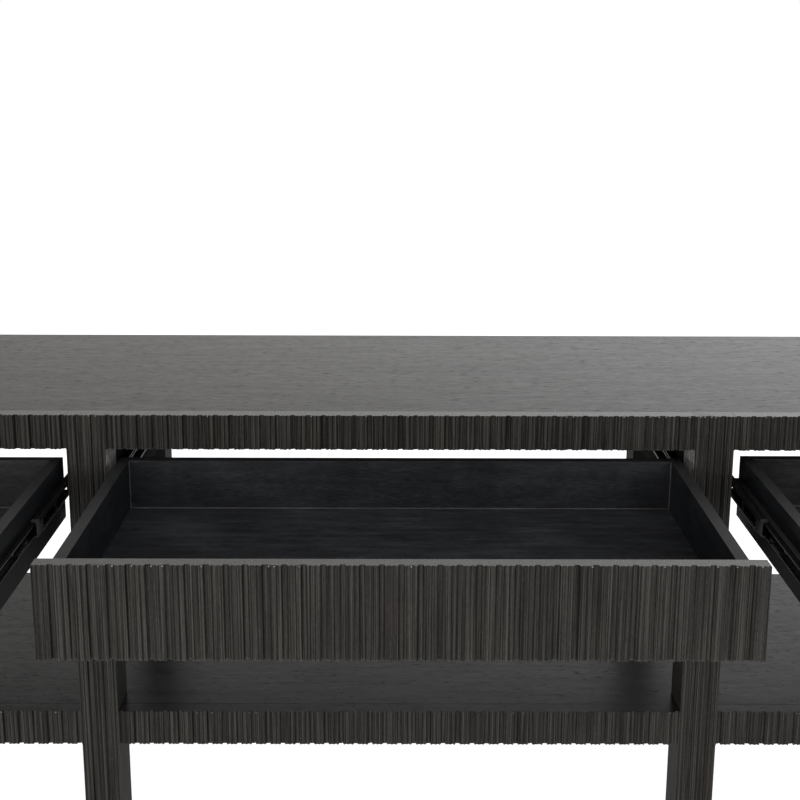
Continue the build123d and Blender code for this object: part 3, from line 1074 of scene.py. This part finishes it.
    def _ease(
        self,
        across: np.ndarray,
        into: np.ndarray,
        level: np.ndarray,
        marks: dict[str, np.ndarray],
        random: np.random.Generator,
    ) -> None:
        """Take off the arris at both ends, and break the tips that are chipped at the top.

        Args:
            across: Local u by row and point, changed in place as the next three are.
            into: Local v.
            level: Height.
            marks: What the finish reads.
            random: Source of the breaks.
        """
        inset, half = REEDING.arris, self.width / 2
        for end in (0, -1):
            across[end] = np.clip(across[end], inset - half, half - inset)
            into[end] = np.clip(into[end], inset, self.depth - inset)
        broken = marks["chip"][-1] > REEDING.tip_rub
        loss = random.uniform(*REEDING.chip_loss, len(broken)) * broken
        level[-2:] -= loss
        into[-1] += REEDING.chip_lean * loss * (into[-1] < self.depth / 2)
        notch = random.uniform(0, 1, len(broken)) ** 3 * (marks["carved"][0] > 0)
        level[:2] += notch * REEDING.ragged
        marks["chip"][:2] = notch * REEDING.notch_rub
        marks["chip"][2:-2] = 0
        marks["chip"][-2] *= broken

    def _placed(self, across: np.ndarray, into: np.ndarray, level: np.ndarray) -> np.ndarray:
        """Turn local places into places in the frame.

        Args:
            across: Local u by row and point.
            into: Local v.
            level: Height.

        Returns:
            The places, by row and point.
        """
        right = np.array(self.facing.inward.cross(UP))
        inward, up, origin = np.array(self.facing.inward), np.array(UP), np.array(self.middle)
        return origin + across[..., None] * right + into[..., None] * inward + level[..., None] * up


# ---------------------------------------------------------------- carcass
@dataclass
class Carcass:
    """Legs, aprons, skirts, shelf rails, panels and what hides behind them."""

    tenon: float = 15.0 * MM
    top_edge: float = 20.0 * MM
    leg_channel: float = 10.0 * MM
    # Painted shade at the boards' ends
    end_shade: float = 0.7
    board_row: float = 6.0 * MM
    leg_row: float = 14.0 * MM
    body: str = "frame"

    def build(self) -> None:
        """Dress every part of the carcass."""
        for column in COLUMNS:
            self._leg(f"front_leg_{column}", Facing.FRONT, column)
            self._leg(f"back_leg_{column}", Facing.BACK, column)
        for bay in BAYS:
            self._board(f"front_apron_{bay}", Facing.FRONT, REED_ENDS)
            self._board(f"shelf_front_rail_{bay}", Facing.FRONT, SHELF_VENEER)
            Solid(f"back_panel_{bay}", TOP_VENEER, "panel_veneer").dress()
            Solid(f"shelf_back_rail_{bay}", SHELF_VENEER, "panel_veneer").dress()
        for side, facing in (("left", Facing.LEFT), ("right", Facing.RIGHT)):
            self._board(f"side_panel_{side}", facing, REED_ENDS)
            self._board(f"shelf_side_rail_{side}", facing, SHELF_VENEER)
            for name in (f"divider_{side}", f"slide_rail_{side}"):
                Solid(name, DEPTH_BOARD, "inner_wood").dress()
        Solid("top_panel", TOP_VENEER, "panel_veneer", 0.0).dress()
        Solid("shelf_panel", SHELF_VENEER, "panel_veneer", 0.0).dress()
        for name in ("top_cleats", "shelf_cleats"):
            Solid(name, CROSS_BOARD, "inner_wood").dress()

    def _board(self, node: str, facing: Facing, end_finish: Finish) -> None:
        """Carve one board between two legs, without its hidden tenons.

        Args:
            node: The board's node.
            facing: Where its carved face looks.
            end_finish: Finish of its upper and lower edges.
        """
        low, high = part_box(node)
        centre, size = (low + high) / 2, high - low
        deep = abs(size.dot(facing.inward))
        wide = abs(size.dot(facing.inward.cross(UP))) - 2 * self.tenon
        block = CarvedBlock(
            f"carved_{node}",
            middle=Vector((centre.x, centre.y, low.z)) - facing.inward * deep / 2,
            facing=facing,
            width=wide,
            depth=deep,
            height=size.z,
            row=self.board_row,
            end_finish=end_finish,
            end_shade=self.end_shade,
        )
        settle(block.build(), self.body, "reeded_wood", node)

    def _leg(self, node: str, facing: Facing, column: str) -> None:
        """Carve one leg, with its outer side too at the table's ends, and its rebate for the top.

        Args:
            node: The leg's node.
            facing: Where its face looks.
            column: Where it stands along the table.
        """
        low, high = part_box(node)
        centre, size = (low + high) / 2, high - low
        at_back = facing is Facing.BACK
        outer = {"outer_left": -1, "outer_right": 1}.get(column, 0)
        block = CarvedBlock(
            f"carved_{node}",
            middle=Vector((centre.x, centre.y, low.z)) - facing.inward * size.y / 2,
            facing=facing,
            width=size.x,
            depth=size.y,
            height=size.z,
            row=self.leg_row,
            channel=self.leg_channel,
            plain_face=at_back,
            carved_side=round(outer * facing.inward.cross(UP).x),
            seat=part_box("top_panel")[0].z - low.z,
            lip=self.top_edge,
            end_finish=TOP_VENEER if at_back else REED_ENDS,
            side_finish=BACK_LEG_INSIDE if at_back else LEG_INSIDE,
        )
        settle(block.build(), self.body, "reeded_wood", node)


@dataclass(frozen=True)
class Solid:
    """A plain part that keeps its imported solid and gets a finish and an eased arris."""

    node: str
    finish: Finish
    slot: str
    arris: float = 0.5 * MM
    least_turn: float = math.radians(40.0)  # edges that turn less get no arris

    def dress(self) -> None:
        """Give the solid its finish and its arris."""
        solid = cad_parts[self.node]
        solid.data.materials.clear()
        solid.data.materials.append(self.finish.material())
        if self.arris:
            weld = solid.modifiers.new("weld", "WELD")
            weld.merge_threshold = TOUCH
            bevel = solid.modifiers.new("arris", "BEVEL")
            bevel.width, bevel.segments, bevel.limit_method = self.arris, 2, "ANGLE"
            bevel.angle_limit = self.least_turn
            bevel.harden_normals = True
        log.info("%s keeps its solid, finished as %s", self.node, self.finish.name)


# ---------------------------------------------------------------- drawers
@dataclass(frozen=True)
class Drawer:
    """One drawer: a carved front on a stained box."""

    bay: str
    # Painted shade at the front's ends
    end_shade: float = 0.5
    row: float = 7.0 * MM
    bead: float = 1.1 * MM

    def build(self) -> None:
        """Carve the front and dress the box."""
        body = f"drawer_{self.bay}"
        node = f"drawer_front_{self.bay}"
        low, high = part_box(node)
        middle = Vector(((low.x + high.x) / 2, low.y, low.z))
        sizes = (*(high - low), self.row)
        front = CarvedBlock(f"carved_{node}", middle, Facing.FRONT, *sizes, end_shade=self.end_shade)
        settle(front.build(), body, "reeded_wood", node)
        # The side drawers get the lighter copy of the cross board: painted light
        cross = BOX_CROSS if self.bay == "centre" else BOX_CROSS_LIT
        for part in ("front", "back"):
            Solid(f"box_{part}_{self.bay}", cross, "drawer_box_wood").dress()
        Solid(f"box_floor_{self.bay}", BOX_FLOOR, "drawer_box_wood").dress()
        for side in ("left", "right"):
            Solid(f"box_side_{side}_{self.bay}", BOX_SIDE, "drawer_box_wood").dress()
        if f"slide_packing_{self.bay}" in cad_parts:
            Solid(f"slide_packing_{self.bay}", BOX_SIDE, "drawer_box_wood").dress()
        self._seams(body)

    def _seams(self, body: str) -> None:
        """Run a thin pale bead along the box's inner back corners and the floor's back edge.

        Args:
            body: The drawer's body.
        """
        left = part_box(f"box_side_left_{self.bay}")[1].x
        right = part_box(f"box_side_right_{self.bay}")[0].x
        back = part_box(f"box_back_{self.bay}")[0].y
        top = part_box(f"box_back_{self.bay}")[1].z - MM
        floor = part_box(f"box_floor_{self.bay}")[1].z
        form = Form()
        bead = self.bead
        for x, step in ((left, 1), (right, -1)):
            corner = np.array([(x, back), (x + step * bead, back), (x, back - bead)][::step])
            form.loft(np.stack([np.column_stack([corner, [z] * 3]) for z in (top, floor)]), BOX_SEAM)
        corner = np.array([(back, floor), (back - bead, floor), (back, floor + bead)])
        form.loft(np.stack([np.column_stack([[x] * 3, corner]) for x in (left, right)]), BOX_SEAM)
        settle(form.piece(f"box_seams_{self.bay}"), body, "drawer_box_wood")


# ---------------------------------------------------------------- slides
def rectangle(left: float, right: float, low: float, high: float) -> np.ndarray:
    """Corners of an upright rectangle, anticlockwise."""
    return np.array([(left, low), (right, low), (right, high), (left, high)])


@dataclass(frozen=True)
class SlideSide:
    """Where one slide stands. Local a runs from the leg to the drawer, local b up from the centreline."""

    face: float  # X of the leg's face
    side: int  # -1 at the bay's left, 1 at its right
    level: float  # Z of the centreline

    def placed(self, across: np.ndarray, along: np.ndarray | float, up: np.ndarray) -> np.ndarray:
        """Places in the frame from a, Y and b."""
        x = self.face - self.side * across
        return np.stack([x, np.broadcast_to(along, x.shape), self.level + up], axis=-1)

    def bar(self, form: Form, section: np.ndarray, start: float, end: float, finish: Finish) -> None:
        """Add a bar of one section along Y.

        Args:
            form: The form that it joins.
            section: Outline in a and b, anticlockwise.
            start: Y of its front end.
            end: Y of its back end.
            finish: Its finish.
        """
        outline = section if self.side < 0 else section[::-1]
        rings = np.stack([self.placed(outline[:, 0], y, outline[:, 1]) for y in (end, start)])
        form.loft(rings, finish)

    def turned(
        self, form: Form, centre: tuple[float, float, float], profile: list, finish: Finish, sides: int = 12
    ) -> None:
        """Add a round piece whose axis lies across the slide.

        Args:
            form: The form that it joins.
            centre: Its a, Y and b.
            profile: Pairs of place along the axis and radius, from the leg's end.
            finish: Its finish.
            sides: Points round it.
        """
        angles = np.linspace(0, 2 * math.pi, sides, endpoint=False) * self.side
        rings = [
            self.placed(
                np.full(sides, centre[0] + place),
                centre[1] + radius * np.cos(angles),
                centre[2] + radius * np.sin(angles),
            )
            for place, radius in profile
        ]
        form.loft(np.stack(rings), finish)


@dataclass(frozen=True)
class Channel:
    """A pressed steel channel with rounded corners, lying along Y."""

    web: float  # the web's outer face
    reach: float  # the far end of its flanges
    height: float
    bend: float = 2.2 * MM  # outer radius of its corners
    metal: float = 1.2 * MM
    corner_points: int = 6

    def section(self) -> np.ndarray:
        """Closed outline of the pressing, anticlockwise."""
        outer, inner = self._path(0.0), self._path(self.metal)[::-1]
        return self._anticlockwise(np.concatenate([outer, inner]))

    def half_section(self, step: int, window: float) -> np.ndarray:
        """Outline one half of the pressing beside a window in its web.

        Args:
            step: 1 for the upper half, -1 for the lower one.
            window: The window's height.

        Returns:
            The closed outline, anticlockwise.
        """
        outer, inner = self._path(0.0), self._path(self.metal)[::-1]
        count = len(outer) // 2
        pick = slice(0, count) if step > 0 else slice(count, None)
        kept_outer, kept_inner = outer[pick], inner[::-1][pick][::-1]
        edge = step * window / 2
        gap = [(self.web, edge), (self.web + self._turn() * self.metal, edge)]
        parts = (kept_outer, gap, kept_inner) if step > 0 else (gap[::-1], kept_outer, kept_inner)
        return self._anticlockwise(np.concatenate(parts))

    def _turn(self) -> int:
        """Which way the flanges point: 1 for away from the leg."""
        return 1 if self.reach > self.web else -1

    def _anticlockwise(self, outline: np.ndarray) -> np.ndarray:
        """The outline, turned round where the flanges point back to the leg."""
        return outline if self._turn() > 0 else outline[::-1]

    def _path(self, inset: float) -> np.ndarray:
        """Follow one skin of the pressing.

        Args:
            inset: How far it lies inside the outer skin.

        Returns:
            Points from the upper flange's end, round the web, to the lower flange's end.
        """
        half, radius, turn = self.height / 2 - inset, self.bend - inset, self._turn()
        corners = []
        middle = self.web + turn * (inset + radius)
        for step, start in ((1, 90), (-1, 180)):
            for angle in np.radians(np.linspace(start, start + 90, self.corner_points)):
                across = middle + turn * radius * math.cos(angle)
                corners.append((across, step * (half - radius) + radius * math.sin(angle)))
        return np.array([(self.reach, half), *corners, (self.reach, -half)])


@dataclass
class SlideSet:
    """All the ball-bearing slides: three nested channels beside each drawer, with their small parts."""

    metal: float = 1.2 * MM
    slip: float = 0.4 * MM
    space: float = 12.7 * MM  # from the leg to the drawer's box
    cabinet_reach: float = 9.4 * MM
    middle_reach: float = 10.4 * MM
    drawer_reach: float = 5.4 * MM
    cabinet_bend: float = 2.6 * MM
    drawer_bend: float = 2.0 * MM
    window: float = 11.0 * MM  # height of the windows in the middle member's web
    window_start: float = 14.0 * MM  # of the first one, behind the member's front end
    window_length: float = 48.0 * MM
    window_pitch: float = 54.0 * MM
    bumper_reach: float = 6.0 * MM  # before the middle member's front end
    bumper_wall: float = 2.3 * MM
    bumper_bend: float = 3.0 * MM
    ball: float = 0.8 * MM  # radius
    ball_across: float = 6.8 * MM  # a of the balls' middles
    ball_drop: float = 0.85 * MM  # from the flange's inner skin to the balls' middles
    ball_pitch: float = 7.0 * MM
    ball_turn: float = math.radians(75.0)  # from a ball's waist to its last ring
    ball_rings: int = 6
    ball_sides: int = 10
    first_ball: float = 0.6  # pitches behind the cage's front end
    balls: int = 6
    cage_start: float = 1.0 * MM  # behind the middle member's front end
    cage_length: float = 62.0 * MM
    cage_metal: float = 0.6 * MM
    cage_slip: float = 0.15 * MM  # from the middle member's web
    cage_reach: float = 9.6 * MM
    screw_radius: float = 3.4 * MM
    cabinet_head: tuple = ((-0.1 * MM, 1.0), (0.3 * MM, 0.8))  # place across, share of the radius
    cabinet_screws: tuple[float, ...] = (22.0 * MM, 250.0 * MM)  # behind the member's front end
    drawer_head: tuple = ((-1.9 * MM, 0.45), (-1.7 * MM, 0.8), (-0.9 * MM, 1.0), (0.1 * MM, 1.0))
    drawer_screws: tuple[float, ...] = (34.0 * MM, 112.0 * MM, 190.0 * MM, 284.0 * MM)
    lever_start: float = 118.0 * MM  # behind the drawer member's front end
    lever_across: tuple[float, float] = (6.0 * MM, 10.8 * MM)
    lever_slip: float = 0.2 * MM  # above the lower flange
    lever_strip: tuple[float, float, float] = (2.2 * MM, 0.0, 36.0 * MM)  # height, start, length
    lever_tab: tuple[float, float, float] = (5.5 * MM, 26.0 * MM, 8.0 * MM)

    def build(self) -> None:
        """Make the three members of every slide with what rides on them."""
        cabinet = Form()
        for bay in BAYS:
            middle, drawer = Form(), Form()
            for side in (-1, 1):
                place = self._place(bay, side)
                self._cabinet_member(place, cabinet)
                self._middle_member(place, bay, middle)
                self._drawer_member(place, bay, drawer)
            self._settle(middle, f"middle_slides_{bay}", f"middle_member_{bay}")
            self._settle(drawer, f"drawer_slides_{bay}", f"drawer_{bay}")
        self._settle(cabinet, "cabinet_slides", "frame")

    @staticmethod
    def _settle(form: Form, node: str, body: str) -> None:
        """Make the piece that stands for one node of slides, on its body."""
        settle(form.piece(f"pressed_{node}"), body, "slide_steel", node)

    def _place(self, bay: str, side: int) -> SlideSide:
        """Find where a slide stands.

        Args:
            bay: Its bay.
            side: -1 at the bay's left, 1 at its right.

        Returns:
            The slide's place.
        """
        low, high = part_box(f"middle_slides_{bay}")
        half = (high.x - low.x) / 2 + self.metal + self.slip
        return SlideSide((low.x + high.x) / 2 + side * half, side, (low.z + high.z) / 2)

    def _cabinet_member(self, place: SlideSide, form: Form) -> None:
        """Add the channel that is screwed to the leg, the divider or the rail.

        Args:
            place: Where the slide stands.
            form: The form that it joins.
        """
        low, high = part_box("cabinet_slides")
        channel = Channel(0.0, self.cabinet_reach, high.z - low.z, self.cabinet_bend)
        place.bar(form, channel.section(), low.y, high.y, SLIDE_STEEL)
        profile = [(across, share * self.screw_radius) for across, share in self.cabinet_head]
        for distance in self.cabinet_screws:
            place.turned(form, (self.metal, low.y + distance, 0.0), profile, BLACK_SCREW)

    def _middle_member(self, place: SlideSide, bay: str, form: Form) -> None:
        """Add the channel that runs between the other two, with windows in its web, and both ball cages.

        Args:
            place: Where the slide stands.
            bay: Its bay.
            form: The form that it joins.
        """
        low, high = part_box(f"middle_slides_{bay}")
        web = self.metal + self.slip
        channel = Channel(web, self.middle_reach, high.z - low.z)
        start = low.y
        for window in np.arange(low.y + self.window_start, high.y - self.window_pitch, self.window_pitch):
            place.bar(form, channel.section(), start, window, SLIDE_STEEL)
            start = window + self.window_length
            for step in (1, -1):
                place.bar(form, channel.half_section(step, self.window), window, start, SLIDE_STEEL)
        place.bar(form, channel.section(), start, high.y, SLIDE_STEEL)
        bumper = Channel(web, self.middle_reach, high.z - low.z, self.bumper_bend, self.bumper_wall)
        place.bar(form, bumper.section(), low.y - self.bumper_reach, low.y, BUMPER_PLASTIC)
        front = low.y + self.cage_start
        level = (high.z - low.z) / 2 - self.metal - self.ball_drop
        for step in (1, -1):
            self._cage_rail(place, form, front, step * level)
            self._balls(place, form, front, step * level)

    def _cage_rail(self, place: SlideSide, form: Form, front: float, level: float) -> None:
        """Add the rail of a ball cage.

        Args:
            place: Where the slide stands.
            form: The form that it joins.
            front: Y of its front end.
            level: Its height above the centreline.
        """
        begin, half = 2 * self.metal + self.slip + self.cage_slip, self.cage_metal / 2
        section = rectangle(begin, self.cage_reach, level - half, level + half)
        place.bar(form, section, front, front + self.cage_length, CAGE_STEEL)

    def _balls(self, place: SlideSide, form: Form, front: float, level: float) -> None:
        """Add one row of balls.

        Args:
            place: Where the slide stands.
            form: The form that they join.
            front: Y of their cage's front end.
            level: Their height above the centreline.
        """
        turns = np.linspace(-self.ball_turn, self.ball_turn, self.ball_rings)
        profile = [(self.ball * math.sin(turn), self.ball * math.cos(turn)) for turn in turns]
        for i in range(self.balls):
            centre = (self.ball_across, front + (i + self.first_ball) * self.ball_pitch, level)
            place.turned(form, centre, profile, BALL_STEEL, self.ball_sides)

    def _drawer_member(self, place: SlideSide, bay: str, form: Form) -> None:
        """Add the channel that is screwed to the drawer's box, its screws and its release lever.

        Args:
            place: Where the slide stands.
            bay: Its bay.
            form: The form that it joins.
        """
        low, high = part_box(f"drawer_slides_{bay}")
        channel = Channel(self.space, self.drawer_reach, high.z - low.z, self.drawer_bend)
        place.bar(form, channel.section(), low.y, high.y, SLIDE_STEEL)
        web = self.space - self.metal
        profile = [(across, share * self.screw_radius) for across, share in self.drawer_head]
        for distance in self.drawer_screws:
            place.turned(form, (web, low.y + distance, 0.0), profile, BLACK_SCREW)
        self._lever(place, form, low.y + self.lever_start, self.metal - (high.z - low.z) / 2)

    def _lever(self, place: SlideSide, form: Form, front: float, flange: float) -> None:
        """Add the plastic lever that frees the drawer: a strip on the lower flange and a finger tab.

        Args:
            place: Where the slide stands.
            form: The form that it joins.
            front: Y of its front end.
            flange: Height of the lower flange's inner skin above the centreline.
        """
        low = flange + self.lever_slip
        for height, begin, length in (self.lever_strip, self.lever_tab):
            section = rectangle(*self.lever_across, low, low + height)
            place.bar(form, section, front + begin, front + begin + length, LEVER_PLASTIC)


# ---------------------------------------------------------------- view and light
@dataclass(frozen=True)
class Surroundings:
    """Soft light from all round: low and broad before the table, brighter to the right behind it.

    Each pair of numbers is a line: its slope and its height at nought.
    """

    behind: tuple[float, float] = (2.2, 0.4)  # over Y, share of the light that comes from behind
    horizon: tuple[float, float] = (-2.1, 1.55)  # over Z, how the light behind falls off upwards
    right_shift: float = 1.09  # added to X before the slope
    right_slope: float = 0.385  # how the light behind grows to the right
    right_most: float = 2.0  # its greatest multiple
    ahead: tuple[float, float] = (-2.0, 1.0)  # over Z, how the light before the table falls off upwards
    ahead_low: float = 1.35
    ahead_all: float = 0.65
    ends: tuple[float, float] = (0.95, 0.55)  # over the distance of X from nought, light before the table
    least: float = 0.12
    warm_left: tuple[float, float] = (1.5, 0.5)  # over X, from the warmer left to the neutral right
    warmth: float = 0.02

    def build(self) -> None:
        """Light the scene from all round, and show a plain white to the eye."""
        world = bpy.data.worlds.new("surroundings")
        world.use_nodes = True
        bpy.context.scene.world = world
        graph = Graph(world.node_tree)
        x, y, z = graph.split(graph.make("ShaderNodeTexCoord", {}, {}, "Generated"))
        behind = y.line(self.behind).clamped()
        to_right = ((x + self.right_shift) * self.right_slope).clamped() * self.right_most
        from_behind = behind * z.line(self.horizon).clamped() * to_right
        ahead = z.line(self.ahead).clamped() * self.ahead_low + self.ahead_all
        ahead = ahead * graph.math("ABSOLUTE", x).line(self.ends)
        strength = from_behind + (1.0 - behind) * ahead + self.least
        warm, plain = grey(1.0, self.warmth), grey(1.0)
        tint = graph.blend(x.line(self.warm_left).clamped(), warm, plain)
        light = graph.make("ShaderNodeBackground", {}, {"Color": tint, "Strength": strength})
        white = graph.make("ShaderNodeBackground", {}, {"Color": plain, "Strength": 1.0})
        seen = graph.make("ShaderNodeLightPath", {}, {}, "Is Camera Ray")
        shader = graph.make("ShaderNodeMixShader", {}, {0: seen, 1: light, 2: white})
        graph.node("ShaderNodeOutputWorld", {}, {"Surface": shader})


@dataclass(frozen=True)
class Studio:
    """A white sweep without end, soft light all round, and the camera."""

    floor_half: float = 30.0
    floor_seen: float = 0.92  # the floor's glow to the eye
    floor_cast: float = 0.28  # the glow that it casts on the table
    lens: float = 49.87
    sensor: float = 36.0
    frame_drop: float = -0.18  # how far the picture sits below the lens's axis, in widths
    camera_x: float = -6.8 * MM
    camera_ahead: float = 1370.9 * MM  # from the legs' faces
    camera_above: float = 471.4 * MM  # above the top
    pitch: float = math.radians(10.754)
    yaw: float = math.radians(0.221)
    roll: float = math.radians(-0.209)
    view_range: tuple[float, float] = (0.05, 200.0)
    lamp_place: tuple[float, float, float] = (-4.0, -3.4, 1.2)
    lamp_size: tuple[float, float] = (2.0, 1.6)
    lamp_power: float = 40.0  # watts

    def build(self) -> None:
        """Set the camera, the floor, the surroundings and the lamp."""
        self._camera()
        self._floor()
        Surroundings().build()
        self._lamp()
        scene = bpy.context.scene
        scene.view_settings.view_transform = "Standard"
        scene.view_settings.look = "None"

    def _camera(self) -> None:
        """Place the camera before the middle bay, above the top and looking down."""
        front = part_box("front_leg_inner_left")[0].y
        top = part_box("top_panel")[1].z
        data = bpy.data.cameras.new("camera")
        data.lens, data.sensor_width = self.lens, self.sensor
        data.shift_y = self.frame_drop
        data.clip_start, data.clip_end = self.view_range
        camera = bpy.data.objects.new("camera", data)
        ahead = Vector((math.sin(self.yaw), math.cos(self.yaw), 0))
        right = Vector((math.cos(self.yaw), -math.sin(self.yaw), 0))
        forward = ahead * math.cos(self.pitch) - UP * math.sin(self.pitch)
        up = ahead * math.sin(self.pitch) + UP * math.cos(self.pitch)
        rolled_right = right * math.cos(self.roll) - up * math.sin(self.roll)
        rolled_up = right * math.sin(self.roll) + up * math.cos(self.roll)
        turn = Matrix((rolled_right, rolled_up, -forward)).transposed().to_4x4()
        place = Vector((self.camera_x, front - self.camera_ahead, top + self.camera_above))
        camera.matrix_world = Matrix.Translation(place) @ turn
        bpy.context.scene.collection.objects.link(camera)
        bpy.context.scene.camera = camera

    def _floor(self) -> None:
        """Lay a pale floor that glows to the eye, so that it runs into the surroundings."""
        half = self.floor_half
        corners = [(-half, -half, 0), (half, -half, 0), (half, half, 0), (-half, half, 0)]
        mesh = bpy.data.meshes.new("floor")
        mesh.from_pydata(corners, [], [(0, 1, 2, 3)])
        floor = bpy.data.objects.new("floor", mesh)
        bpy.context.scene.collection.objects.link(floor)
        material = bpy.data.materials.new("pale_floor")
        material.use_nodes = True
        graph = Graph(material.node_tree)
        seen = graph.make("ShaderNodeLightPath", {}, {}, "Is Camera Ray")
        sockets = {
            "Base Color": grey(0.5),
            "Roughness": 0.9,
            "Emission Color": graph.blend(seen, grey(self.floor_cast), grey(self.floor_seen)),
            "Emission Strength": 1.0,
        }
        shader = graph.make("ShaderNodeBsdfPrincipled", {}, sockets, "BSDF")
        graph.node("ShaderNodeOutputMaterial", {}, {"Surface": shader})
        mesh.materials.append(material)

    def _lamp(self) -> None:
        """Stand a soft rectangular lamp before the table's left end, facing the table's middle."""
        data = bpy.data.lights.new("side_softbox", "AREA")
        data.shape, data.energy = "RECTANGLE", self.lamp_power
        data.size, data.size_y = self.lamp_size
        lamp = bpy.data.objects.new("side_softbox", data)
        lamp.location = self.lamp_place
        lamp.rotation_mode = "QUATERNION"
        towards = (cad_low + cad_high) / 2 - Vector(self.lamp_place)
        lamp.rotation_quaternion = towards.to_track_quat("-Z", "Y")
        bpy.context.scene.collection.objects.link(lamp)


def main() -> None:
    """Build the studio, then dress the table piece by piece."""
    Studio().build()
    Carcass().build()
    for bay in BAYS:
        Drawer(bay).build()
    SlideSet().build()
    Solid("foot_glides", GLIDE_PLASTIC, "glide_plastic", 0.0).dress()
    Solid("cleat_screws", SCREW_STEEL, "screw_steel", 0.0).dress()


if __name__ == "__main__":
    main()
